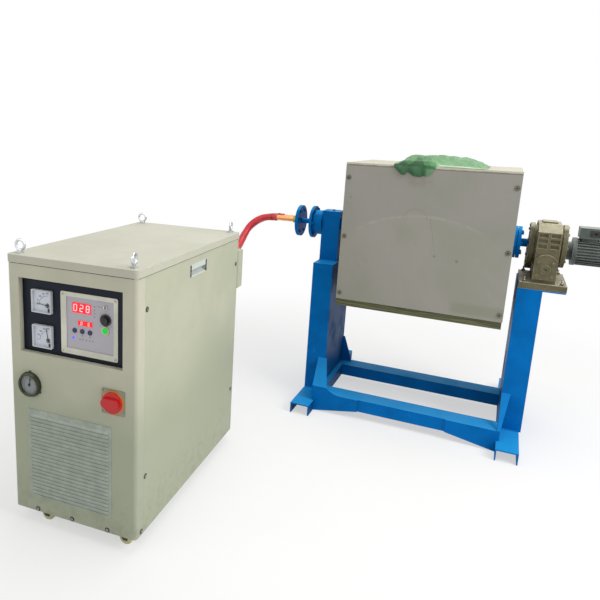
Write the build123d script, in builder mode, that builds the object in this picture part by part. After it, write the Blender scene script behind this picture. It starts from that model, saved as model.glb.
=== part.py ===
"""Tilting induction melting furnace with its power cabinet, built piece by piece in millimetres."""

from build123d import *
from math import cos, pi, radians, sin, tan
import os

os.makedirs("parts", exist_ok=True)

# Frame: origin on the floor, mid footprint, X to the right, Y to the back, Z up

# Clearances
seat_gap = 0.3
running_gap = 0.05
slide_gap = 0.2
seam = 0.6

# Tilting stand
stand_left = -395.0
stand_front = 200.0
foot_spacing = 1000.0
foot_width = 100.0
foot_height = 56.0
foot_wall = 6.0
foot_length = 962.0
column_width = 108.0
column_front_inset = 241.0
column_depth = 400.0
column_wall = 5.0
rail_width = 103.0
rail_height = 64.0
rail_wall = 6.0
rail_lift = 42.0
front_rail_inset = 96.0
back_rail_inset = 556.0
tie_width = 26.0
post_width = 98.0
post_wall = 8.0
post_rise = 62.0
shaft_opening = 1.0
post_cap_thickness = 10.0
post_cap_bolt_radius = 8.0
post_cap_bolt_height = 6.0

# Folded gussets between the rails, the feet and the columns
gusset_thickness = 8.0
gusset_reach = 234.0
gusset_overlap = 12.0
gusset_fold_height = 138.0
gusset_fold_width = 78.0
gusset_flare = 143.0
tongue_top = 240.0
tongue_width = 40.0
tongue_inset = 8.0
back_gusset_width = 60.0
back_gusset_height = 150.0

# Trunnion line
trunnion_height = 970.0
trunnion_inset = 401.0
trunnion_radius = 30.0
trunnion_bore_radius = 20.0
trunnion_plate_radius = 75.0
trunnion_plate_thickness = 15.0
bearing_outer_radius = 48.0
bearing_width = 30.0
housing_radius = 66.5
housing_length = 50.0
housing_wall = 20.0
cover_radius = 88.0
cover_thickness = 15.0
cover_screw_circle = 77.0
spindle_radius = 14.0
spindle_gap = 62.0
spindle_depth = 60.0
spindle_end_gap = 12.0
spindle_collar_radius = 22.0
spindle_collar_width = 6.0
cable_flange_radius = 86.0
cable_flange_thickness = 18.0
flange_bolt_circle = 64.0
flange_bolt_count = 6
flange_bolt_radius = 8.0
flange_bolt_height = 7.0

# Furnace body
body_left_inset = 172.5
body_width = 783.0
body_depth = 599.0
body_height = 722.0
body_drop = 373.0
bottom_slab_height = 35.0
top_slab_height = 15.0
slab_inset = 3.0
panel_thickness = 4.0
side_panel_thickness = 8.0
mouth_radius = 112.0
spout_width = 50.0
spout_depth = 8.0
crucible_outer_radius = 150.0
crucible_bore_radius = 115.0
crucible_floor = 45.0
crucible_fillet = 40.0
hearth_height = 90.0
hearth_radius = 250.0
lining_outer_radius = 200.0
coil_tube_radius = 9.0
coil_turns = 14
coil_pitch = 32.0
coil_start_height = 30.0
coil_gap = 3.0
body_screw_radius = 9.0
body_screw_height = 5.0
body_screw_washer_height = 1.5
body_screw_inset = 17.0
body_screw_washer_radius = 12.0
body_screw_top = 72.0
body_screw_bottom = 67.0

# Drive end
drive_flange_radius = 78.0
drive_flange_thickness = 16.0
drive_flange_gap = 2.5
drive_shaft_end_gap = 4.0
drive_shaft_radius = 20.0
drive_bolt_circle = 56.0
drive_bolt_count = 6
drive_bolt_radius = 8.0
drive_bolt_height = 9.0
mount_plate_thickness = 6.0
mount_plate_overhang = 95.0
gear_foot_width = 202.0
gear_foot_length = 320.0
gear_foot_height = 30.0
gear_foot_bolt_inset = 22.0
gear_foot_bolt_radius = 9.0
gear_foot_bolt_height = 9.0
gear_centre_right = 104.5
worm_height = 98.0
wheel_centre_distance = 96.0
case_width = 99.0
case_half_length = 141.0
case_shoulder = 75.0
case_crown = 109.0
case_crown_half = 70.0
drum_radius = 102.5
drum_width = 160.0
drum_wall = 19.0
drum_neck_radius = 92.0
cavity_clearance = 5.0
worm_wall = 20.0
cover_bolt_circle = 90.0
cover_bolt_count = 8
cover_bolt_radius = 6.5
cover_bolt_height = 5.0
pocket_rows = 3
pocket_width = 38.0
pocket_height = 18.0
pocket_pitch = 26.0
pocket_depth = 8.0
pocket_offset = 25.0
pocket_rise = 35.0
worm_cover_width = 98.0
worm_cover_bottom = 48.0
worm_cover_shoulder = 39.0
worm_cover_top = 69.0
worm_cover_thickness = 12.0
worm_cover_bolt_spacing = 63.0
worm_hub_radius = 22.0
worm_hub_length = 5.0
worm_hub_bore = 9.0
crown_plate_width = 64.0
crown_plate_length = 90.0
crown_plate_thickness = 7.0

# Gears inside the drive
wheel_teeth = 40
wheel_width = 32.0
wheel_tooth_depth = 7.0
wheel_hub_radius = 32.0
wheel_hub_width = 44.0
wheel_collar_width = 6.0
wheel_tooth_width = 5.0
mesh_gap = 0.4
worm_radius = 20.0
worm_root_radius = 13.0
worm_length = 96.0
worm_rings = 8
worm_ring_width = 6.0
worm_collar_width = 6.0
worm_shaft_radius = 12.0
first_centre_distance = 50.0
first_worm_radius = 13.0
first_worm_length = 60.0
first_wheel_teeth = 30
first_wheel_width = 20.0
first_tooth_depth = 4.0
first_tooth_width = 3.5
first_worm_rings = 7
first_ring_width = 4.0
first_case_width = 154.0
first_case_length = 94.0
first_case_gap = 6.0
first_case_top = 41.0
first_case_bottom = 54.0
first_case_wall = 10.0
first_neck_radius = 40.0

# Motor
motor_radius = 58.0
motor_fin_height = 9.0
motor_fin_thickness = 4.0
motor_fin_count = 28
motor_adapter_radius = 46.0
motor_adapter_length = 48.0
motor_flange_radius = 70.0
motor_flange_thickness = 18.0
motor_length = 150.0
motor_bore_radius = 42.0
motor_end_wall = 10.0
motor_fan_cover_length = 54.0
motor_fan_cover_wall = 2.0
fan_slot_circle = 38.0
fan_slot_count = 16
fan_slot_length = 34.0
fan_slot_width = 3.5
motor_shaft_radius = 9.0
rotor_radius = 36.0
rotor_length = 90.0
motor_fan_radius = 54.0
motor_fan_width = 12.0
motor_fan_hub_radius = 16.0
motor_fan_blades = 7
motor_fan_blade_thickness = 3.0
junction_length = 96.0
junction_depth = 92.0
junction_height = 52.0
junction_inset = 4.0
junction_rise = 6.0
junction_neck_inset = 14.0
junction_neck_sink = 8.0
junction_entry_right = 66.0
junction_entry_depth = 20.0
junction_entry_radius = 9.0

# Power cabinet, in its own yawed frame: a to its right, b to its back
cabinet_yaw = 3.57
cabinet_left = -607.0
cabinet_front_line = -1343.5
cabinet_width = 507.0
cabinet_depth = 902.0
cabinet_height = 1005.0
cabinet_clearance = 55.0
sheet = 2.0
lid_height = 27.0
lid_edge_radius = 1.5
front_return = 49.0
back_return = 20.0
corner_radius = 14.0
floor_height = 70.0
floor_thickness = 4.0
base_wall = 3.0
base_height = 60.0

# Instrument recess in the cabinet's front
recess_left = 46.0
recess_right_inset = 54.0
recess_height = 263.0
recess_drop = 76.0
recess_depth = 20.0
recess_panel_thickness = 2.0
recess_panel_margin = 8.0

# Panel meters, their heights measured down from the recess's top
meter_size = 80.0
meter_corner_radius = 3.0
meter_pivot_length = 6.0
meter_centre_a = 130.0
upper_meter_drop = 78.0
lower_meter_drop = 202.0
meter_height = 12.0
meter_pocket_depth = 9.0
meter_rim = 4.0
meter_barrel_radius = 30.0
meter_barrel_length = 40.0
meter_pivot_right = 20.5
meter_pivot_down = 13.5
meter_pivot_radius = 1.5
meter_needle_length = 43.0
meter_needle_width = 1.6
meter_needle_thickness = 0.8
meter_hub_radius = 4.5
meter_hub_height = 3.0
needle_gap = 1.5
upper_needle_angle = 173.0
lower_needle_angle = 99.5

# Control module, its heights measured down from the recess's top
module_left = 203.0
module_right = 424.0
module_bottom_drop = 247.0
module_top_drop = 31.0
module_plate_thickness = 2.0
module_corner_radius = 6.0
module_box_left = 225.0
module_box_right = 408.0
module_box_bottom_drop = 226.0
module_box_top_drop = 46.0
module_film_drop = 1.0
module_body_depth = 16.0
module_body_wall = 3.0
module_screw_inset = 9.0
module_screw_radius = 4.0
module_screw_height = 2.0
knob_a = 377.0
knob_drop = 109.0
knob_radius = 13.0
knob_skirt_radius = 20.0
knob_skirt_height = 4.0
knob_height = 12.0
knob_shaft_radius = 3.0
knob_shaft_length = 9.0
knob_flutes = 16
knob_flute_radius = 1.4
knob_ridge_width = 2.5
knob_ridge_height = 1.5
toggle_a = 377.0
toggle_drop = 67.0
toggle_collar_radius = 7.0
toggle_collar_height = 5.0
toggle_slot_width = 5.0
toggle_slot_length = 11.0
toggle_slot_depth = 7.0
toggle_lever_radius = 2.0
toggle_lever_length = 16.0
toggle_pivot_depth = 3.0
toggle_tip_radius = 2.6
toggle_pin_radius = 1.0
toggle_pin_length = 9.0
toggle_lean = 15.0
start_a = 376.0
start_drop = 145.0
start_radius = 11.0
start_bezel_radius = 14.0
start_bezel_height = 3.0
start_height = 5.0
start_travel = 4.0
start_socket_depth = 9.0
key_left_a = 256.0
key_pitch = 30.0
key_drop = 162.0
key_radius = 8.5
key_height = 3.0
key_travel = 3.0
key_socket_depth = 8.0
button_edge_radius = 1.0
display_left = 247.0
display_right = 322.0
display_bottom_drop = 100.0
display_top_drop = 63.0
small_display_left = 269.0
small_display_right = 327.0
small_display_bottom_drop = 143.0
small_display_top_drop = 124.0
display_proud = 1.0
lamp_a = 249.0
lamp_drop = 188.5
lamp_radius = 3.5
lamp_height = 2.0

# Pressure gauge
gauge_a = 84.0
gauge_z = 549.0
gauge_flange_radius = 46.0
gauge_flange_thickness = 3.0
gauge_ear_radius = 5.0
gauge_case_radius = 41.0
gauge_case_height = 16.0
gauge_pocket_radius = 36.0
gauge_pocket_depth = 10.0
gauge_barrel_radius = 30.0
gauge_barrel_length = 40.0
gauge_stem_radius = 7.0
gauge_stem_length = 20.0
gauge_needle_length = 28.0
gauge_needle_tail = 9.0
gauge_needle_width = 1.8
gauge_hub_radius = 4.0
gauge_needle_angle = 80.0

# Main isolator
isolator_a = 418.5
isolator_z = 550.5
isolator_plate_size = 88.0
isolator_plate_thickness = 3.0
isolator_corner_radius = 4.0
isolator_neck_radius = 14.0
isolator_ring_radius = 42.0
isolator_ring_thickness = 3.0
isolator_hub_radius = 37.0
isolator_hub_height = 7.0
isolator_bar_width = 34.0
isolator_bar_length = 66.0
isolator_bar_tail = 30.0
isolator_bar_height = 17.0
isolator_body_size = 60.0
isolator_body_depth = 55.0
isolator_shaft_radius = 5.0
isolator_shaft_length = 14.0

# Intake grille and fan
grille_left = 70.0
grille_right = 411.0
grille_bottom = 118.0
grille_top = 457.0
grille_thickness = 1.5
grille_margin = 6.0
slot_count = 22
slot_width = 317.0
slot_height = 7.0
slot_pitch = 14.3
top_slot_z = 430.0
hood_depth = 4.0
hood_wall = 1.2
fan_radius = 120.0
fan_hub_radius = 42.0
fan_hub_depth = 30.0
fan_blades = 7
fan_blade_thickness = 3.0
fan_blade_width = 44.0
fan_blade_twist = 30.0
fan_blade_inset = 5.0
fan_centre_b = 25.0
fan_frame_size = 270.0
fan_frame_depth = 50.0
fan_tip_gap = 4.0
fan_shaft_radius = 6.0
fan_motor_radius = 36.0
fan_motor_depth = 60.0
fan_shaft_length = 30.0
fan_spoke_width = 10.0
fan_spoke_depth = 6.0

# Lifting eyes, after the common M10 eye bolt
eye_inset = 32.0
eye_collar_radius = 12.5
eye_collar_height = 8.0
eye_ring_radius = 22.5
eye_bore_radius = 12.5
eye_centre_height = 28.0
eye_shank_radius = 5.0
eye_shank_length = 14.0
eye_nut_radius = 9.0
eye_nut_height = 8.0
right_eye_turn = -80.0

# Side pull handles
pull_centre_b = 458.0
pull_drop = 79.0
pull_length = 150.0
pull_height = 48.0
pull_depth = 24.0
pull_wall = 1.5
pull_rim = 3.0
pull_lip_height = 18.0
pull_lip_radius = 30.0
pull_gap_top = 3.0

# Cabinet screws
side_screw_front = 60.0
side_screw_back_inset = 35.0
side_screw_low = 270.0
side_screw_drop = 139.0
foot_screw_b = 36.0
foot_screw_z = 70.0
front_screw_z = 65.0
front_screw_a = (100.0, 247.0, 393.0)
cabinet_screw_radius = 5.0
cabinet_screw_height = 2.5

# Rear terminal box, hose tails and water ports
box_left = 120.0
box_right_inset = 2.0
box_margin = 10.0
box_height = 171.0
box_drop = 88.0
box_depth = 60.0
tail_a = (250.0, 330.0)
tail_rise = 86.0
tail_radius = 15.0
tail_length = 45.0
tail_nut_radius = 20.0
tail_nut_length = 22.0
port_a = (140.0, 366.0)
port_z = 200.0
port_radius = 12.5
port_bore_radius = 9.0
port_length = 60.0
port_nut_radius = 18.0
port_nut_length = 20.0

# Castors
castor_front_b = 45.0
castor_back_inset = 45.0
castor_left_a = 89.0
castor_right_inset = 87.0
castor_plate_size = 60.0
castor_plate_thickness = 4.0
castor_pin_radius = 5.0
castor_pin_length = 8.0
castor_trail = 25.0
wheel_radius = 25.0
castor_wheel_width = 20.0
axle_radius = 4.0
fork_cheek = 3.0
fork_crown = 5.0
fork_nose = 18.0
fork_axle_margin = 8.0
wheel_edge_radius = 4.0

# Inside the cabinet
transformer_a = 340.0
transformer_b = 560.0
core_width = 260.0
core_depth = 60.0
core_height = 240.0
core_limb = 44.0
winding_thickness = 24.0
capacitor_radius = 40.0
capacitor_height = 150.0
capacitor_pitch = 90.0
capacitor_rows = 3
capacitor_columns = 2
capacitor_a = 95.0
capacitor_b = 560.0
capacitor_stud_radius = 6.0
capacitor_stud_height = 14.0
mount_wall_b = 320.0
mount_wall_thickness = 3.0
mount_wall_height = 780.0
heatsink_width = 300.0
heatsink_height = 260.0
heatsink_base = 12.0
heatsink_fin_depth = 40.0
heatsink_fin_count = 16
heatsink_fin_thickness = 4.0
heatsink_z = 560.0

# Water-cooled cables
cable_radius = 19.0
cable_spacing = 44.0
cable_arc_share = 0.45
near_cable_reach = 272.0
far_cable_reach = 246.0
lead_rise = 6.0
lead_radius = 15.0
lead_nut_length = 27.0
lead_nut_radius = 20.5

# Cover cloth: fold places across it, their heights, and the lobes that hang in front
cloth_left_inset = 228.0
cloth_thickness = 5.0
cloth_fold_places = (0.0, 66.0, 128.0, 190.0, 300.0, 405.0)
cloth_fold_heights = (8.0, 36.0, 26.0, 42.0, 38.0, 5.0)
cloth_fold_bulge = 3.0
cloth_fold_depth = 14.0
cloth_hem_inset = 9.0
cloth_depths = (14.0, 90.0, 200.0, 330.0, 440.0)
cloth_depth_shares = (0.35, 0.8, 1.0, 0.9, 0.4)
cloth_hanging_folds = 4
cloth_lip_share = 0.15
cloth_lobe_drops = (41.0, 43.0, 30.0)

# Places worked out from the sizes above
recess_right = cabinet_width - recess_right_inset
recess_top = cabinet_height - recess_drop
recess_bottom = recess_top - recess_height
upper_meter_z = recess_top - upper_meter_drop
lower_meter_z = recess_top - lower_meter_drop
module_bottom = recess_top - module_bottom_drop
module_top = recess_top - module_top_drop
module_box_bottom = recess_top - module_box_bottom_drop
module_box_top = recess_top - module_box_top_drop
module_box_middle = (
    (module_box_left + module_box_right) / 2,
    (module_box_bottom + module_box_top) / 2,
)
module_body_width = module_box_right - module_box_left + 2 * module_body_wall
module_body_height = module_box_top - module_box_bottom + 2 * module_body_wall
knob_z = recess_top - knob_drop
toggle_z = recess_top - toggle_drop
start_z = recess_top - start_drop
key_z = recess_top - key_drop
display_bottom = recess_top - display_bottom_drop
display_top = recess_top - display_top_drop
small_display_bottom = recess_top - small_display_bottom_drop
small_display_top = recess_top - small_display_top_drop
lamp_z = recess_top - lamp_drop
castor_back_b = cabinet_depth - castor_back_inset
castor_right_a = cabinet_width - castor_right_inset
side_screw_back = cabinet_depth - side_screw_back_inset
side_screw_high = cabinet_height - side_screw_drop
pull_centre_z = cabinet_height - pull_drop
box_right = cabinet_width - box_right_inset
box_top = cabinet_height - box_drop
box_bottom = box_top - box_height
tail_z = box_bottom + tail_rise
trunnion_y = stand_front + trunnion_inset
right_foot_left = stand_left + foot_spacing
left_column_right = stand_left + column_width
column_front = stand_front + column_front_inset
column_back = column_front + column_depth
worm_z = trunnion_height - wheel_centre_distance
gear_base = worm_z - worm_height
column_top = gear_base - mount_plate_thickness
body_left = stand_left + body_left_inset
body_right = body_left + body_width
body_front = trunnion_y - body_depth / 2
body_back = trunnion_y + body_depth / 2
body_bottom = trunnion_height - body_drop
body_top = body_bottom + body_height
body_centre_x = (body_left + body_right) / 2
gear_x = right_foot_left + gear_centre_right

low_corner = (Align.MIN, Align.MIN, Align.MIN)


def fill(low, high, mode=Mode.ADD):
    """Add or cut the box between two opposite corners, in the frame of the part being built."""
    spans = [top - bottom for bottom, top in zip(low, high)]
    with Locations(low):
        Box(*spans, align=low_corner, mode=mode)


def trunnion_plane(x):
    """Plane square to the tilting axis, its own origin on the axis, facing right."""
    return Plane(origin=(x, trunnion_y, trunnion_height), x_dir=(0, 1, 0), z_dir=(1, 0, 0))


cabinet = Plane(
    origin=(stand_left + cabinet_left, stand_front + cabinet_front_line, 0),
    x_dir=(cos(radians(cabinet_yaw)), sin(radians(cabinet_yaw)), 0),
    z_dir=(0, 0, 1),
)


def cabinet_point(a, b, z):
    """A point of the cabinet's own frame in the frame of the whole machine."""
    return cabinet.from_local_coords(Vector(a, b, z))


def cabinet_face(a, b, z):
    """Plane parallel to the cabinet's front, facing the operator, with its origin at a point."""
    return Plane(origin=cabinet_point(a, b, z), x_dir=cabinet.x_dir, z_dir=-cabinet.y_dir)


def cabinet_side(a, b, z):
    """Plane parallel to the cabinet's right side, facing right, with its origin at a point."""
    return Plane(origin=cabinet_point(a, b, z), x_dir=cabinet.y_dir, z_dir=cabinet.x_dir)


# Feet: two channels laid web up
with BuildPart() as floor_feet:
    for left in (stand_left, right_foot_left):
        fill((left, stand_front, 0), (left + foot_width, stand_front + foot_length, foot_height))
        fill(
            (left + foot_wall, stand_front, 0),
            (left + foot_width - foot_wall, stand_front + foot_length, foot_height - foot_wall),
            mode=Mode.SUBTRACT,
        )
floor_feet.part.label = "floor_feet"

# Cross rails with their flared gussets
front_rail_front = stand_front + front_rail_inset
front_rail_back = front_rail_front + rail_width
back_rail_front = stand_front + back_rail_inset
back_rail_back = back_rail_front + rail_width
rail_left = stand_left + foot_width
rail_top = rail_lift + rail_height
gusset_front = front_rail_front - gusset_thickness
left_gusset_start = rail_left - gusset_overlap
right_gusset_end = right_foot_left + gusset_overlap


def tongue(low_left, low_width, low_top, high_left, high_width):
    """Sloping strip from a gusset's top edge back up to a column's front face."""
    with BuildPart() as strip:
        low_z = low_top - gusset_thickness / 2
        with BuildSketch(Plane.XZ.offset(-gusset_front)):
            with Locations((low_left + low_width / 2, low_z)):
                Rectangle(low_width, gusset_thickness)
        with BuildSketch(Plane.XZ.offset(-column_front)):
            with Locations((high_left + high_width / 2, tongue_top)):
                Rectangle(high_width, gusset_thickness)
        loft()
    return strip.part


left_tongue = tongue(
    left_gusset_start,
    gusset_fold_width,
    gusset_fold_height,
    left_column_right - tongue_width,
    tongue_width + tongue_inset,
)
right_tongue = tongue(right_foot_left, gusset_overlap, rail_top, right_foot_left, tongue_width)

with BuildPart() as cross_rails:
    for near, far, left in (
        (front_rail_front, front_rail_back, rail_left),
        (back_rail_front, back_rail_back, left_column_right),
    ):
        fill((left, near, rail_lift), (right_foot_left, far, rail_top))
        fill(
            (left, near + rail_wall, rail_lift),
            (right_foot_left, far - rail_wall, rail_top - rail_wall),
            mode=Mode.SUBTRACT,
        )
    # Tie between the two rails beside the left column
    fill(
        (left_column_right, front_rail_back, rail_lift),
        (left_column_right + tie_width, back_rail_front, rail_top),
    )
    # Left front gusset, folded back up to the column
    with BuildSketch(Plane.XZ.offset(-gusset_front)):
        with BuildLine():
            gusset_outline = Polyline(
                (left_gusset_start + gusset_fold_width, gusset_fold_height),
                (left_gusset_start, gusset_fold_height),
                (left_gusset_start, foot_height),
                (rail_left, foot_height),
                (rail_left, 0),
                (rail_left + gusset_reach, rail_lift),
                (rail_left + gusset_reach, rail_top),
                (rail_left + gusset_flare, rail_top),
            )
            ThreePointArc(
                gusset_outline @ 1,
                (
                    left_gusset_start + gusset_fold_width + gusset_flare / 5,
                    (gusset_fold_height + rail_top) / 2 - gusset_thickness / 2,
                ),
                gusset_outline @ 0,
            )
        make_face()
    extrude(amount=-gusset_thickness)
    add(left_tongue)
    # Right front gusset, flat, with a narrow tongue over the foot
    with BuildSketch(Plane.XZ.offset(-gusset_front)):
        with BuildLine():
            Polyline(
                (right_gusset_end, rail_top),
                (right_foot_left - gusset_reach, rail_top),
                (right_foot_left - gusset_reach, rail_lift),
                (right_foot_left, 0),
                (right_foot_left, foot_height),
                (right_gusset_end, foot_height),
                close=True,
            )
        make_face()
    extrude(amount=-gusset_thickness)
    add(right_tongue)
    # Upright gusset at the back rail's left end
    with BuildSketch(Plane.XZ.offset(-(column_back - gusset_thickness))):
        with BuildLine():
            Polyline(
                (left_column_right, rail_top),
                (left_column_right + back_gusset_width, rail_top),
                (left_column_right + tongue_inset, rail_top + back_gusset_height),
                (left_column_right, rail_top + back_gusset_height),
                close=True,
            )
        make_face()
    extrude(amount=-gusset_thickness)
cross_rails.part.label = "cross_rails"

# Box-section columns, the bearing post on the left one and the drive plate on the right one
post_left = stand_left
post_right = post_left + post_width
post_top = trunnion_height + post_rise
post_front = trunnion_y - post_width / 2
post_back = trunnion_y + post_width / 2
with BuildPart() as side_columns:
    for left in (stand_left, right_foot_left):
        fill((left, column_front, foot_height), (left + column_width, column_back, column_top))
        fill(
            (left + column_wall, column_front + column_wall, foot_height),
            (
                left + column_width - column_wall,
                column_back - column_wall,
                column_top - column_wall,
            ),
            mode=Mode.SUBTRACT,
        )
    fill((post_left, post_front, column_top), (post_right, post_back, post_top))
    fill(
        (post_left + post_wall, post_front + post_wall, column_top),
        (post_right - post_wall, post_back - post_wall, post_top),
        mode=Mode.SUBTRACT,
    )
    with BuildSketch(trunnion_plane(post_left)):
        Circle(trunnion_radius + shaft_opening)
    extrude(amount=post_width, mode=Mode.SUBTRACT)
    # Cap plate with its bolt
    fill((post_left, post_front, post_top), (post_right, post_back, post_top + post_cap_thickness))
    with BuildSketch(Plane.XY.offset(post_top + post_cap_thickness)):
        with Locations(((post_left + post_right) / 2, trunnion_y)):
            RegularPolygon(post_cap_bolt_radius, 6)
    extrude(amount=post_cap_bolt_height)
    # Drive mounting plate
    fill(
        (right_foot_left, column_front, column_top),
        (
            right_foot_left + column_width + mount_plate_overhang,
            column_front + gear_foot_length,
            gear_base,
        ),
    )
side_columns.part.label = "side_columns"

# Bearing housing on the post's outer face
housing_left = post_left - housing_length
cover_left = housing_left - cover_thickness
flange_right = cover_left - spindle_gap
flange_left = flange_right - cable_flange_thickness
trunnion_end = housing_left + spindle_end_gap
with BuildPart() as bearing_housing:
    with BuildSketch(trunnion_plane(housing_left)):
        Circle(housing_radius)
        Circle(bearing_outer_radius, mode=Mode.SUBTRACT)
    extrude(amount=housing_length - housing_wall)
    with BuildSketch(trunnion_plane(post_left - housing_wall)):
        Circle(housing_radius)
        Circle(trunnion_radius + shaft_opening, mode=Mode.SUBTRACT)
    extrude(amount=housing_wall)
    # Bearing ring that carries the hollow trunnion
    with BuildSketch(trunnion_plane(post_left - housing_wall - bearing_width)):
        Circle(bearing_outer_radius)
        Circle(trunnion_radius + running_gap, mode=Mode.SUBTRACT)
    extrude(amount=bearing_width)
    # Cover with a hole for the fixed spindle
    with BuildSketch(trunnion_plane(cover_left)):
        Circle(cover_radius)
        Circle(spindle_radius + seat_gap, mode=Mode.SUBTRACT)
    extrude(amount=cover_thickness)
    with BuildSketch(trunnion_plane(housing_left)):
        with PolarLocations(cover_screw_circle, flange_bolt_count):
            RegularPolygon(flange_bolt_radius, 6)
    extrude(amount=flange_bolt_height)
bearing_housing.part.label = "bearing_housing"

# Cable flange on its fixed spindle
with BuildPart() as cable_flange:
    with BuildSketch(trunnion_plane(flange_left)):
        Circle(cable_flange_radius)
    extrude(amount=cable_flange_thickness)
    with BuildSketch(trunnion_plane(flange_right)):
        Circle(spindle_radius)
    extrude(amount=spindle_gap + cover_thickness + spindle_depth)
    # Collar that holds the spindle behind the cover
    with BuildSketch(trunnion_plane(housing_left)):
        Circle(spindle_collar_radius)
    extrude(amount=spindle_collar_width)
    for face_x, reach in ((flange_left, -flange_bolt_height), (flange_right, flange_bolt_height)):
        with BuildSketch(trunnion_plane(face_x)):
            with PolarLocations(flange_bolt_circle, flange_bolt_count):
                RegularPolygon(flange_bolt_radius, 6)
        extrude(amount=reach)
cable_flange.part.label = "cable_flange"

# Reducing gear case beside the right column
case_front = trunnion_y - case_half_length
case_back = trunnion_y + case_half_length
case_left = gear_x - case_width / 2
drum_left = gear_x - drum_width / 2
gear_foot_left = gear_x - gear_foot_width / 2
gear_foot_top = gear_base + gear_foot_height
case_crown_z = trunnion_height + case_crown
wheel_radius_main = wheel_centre_distance - worm_radius - mesh_gap
wheel_radius_first = first_centre_distance - first_worm_radius - mesh_gap
motor_z = worm_z + first_centre_distance
first_case_left = gear_x - first_case_width / 2
first_case_right = gear_x + first_case_width / 2
first_case_front = case_back + first_case_gap
first_case_back = first_case_front + first_case_length
motor_y = (first_case_front + first_case_back) / 2
cavity_radius = wheel_radius_main + cavity_clearance


def worm_plane(y):
    """Plane square to the main worm, its own origin on the worm's axis, facing the back."""
    return Plane(origin=(gear_x, y, worm_z), x_dir=(1, 0, 0), z_dir=(0, 1, 0))


def motor_plane(x):
    """Plane square to the motor shaft, its own origin on the shaft's axis, facing right."""
    return Plane(origin=(x, motor_y, motor_z), x_dir=(0, 1, 0), z_dir=(1, 0, 0))


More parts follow.
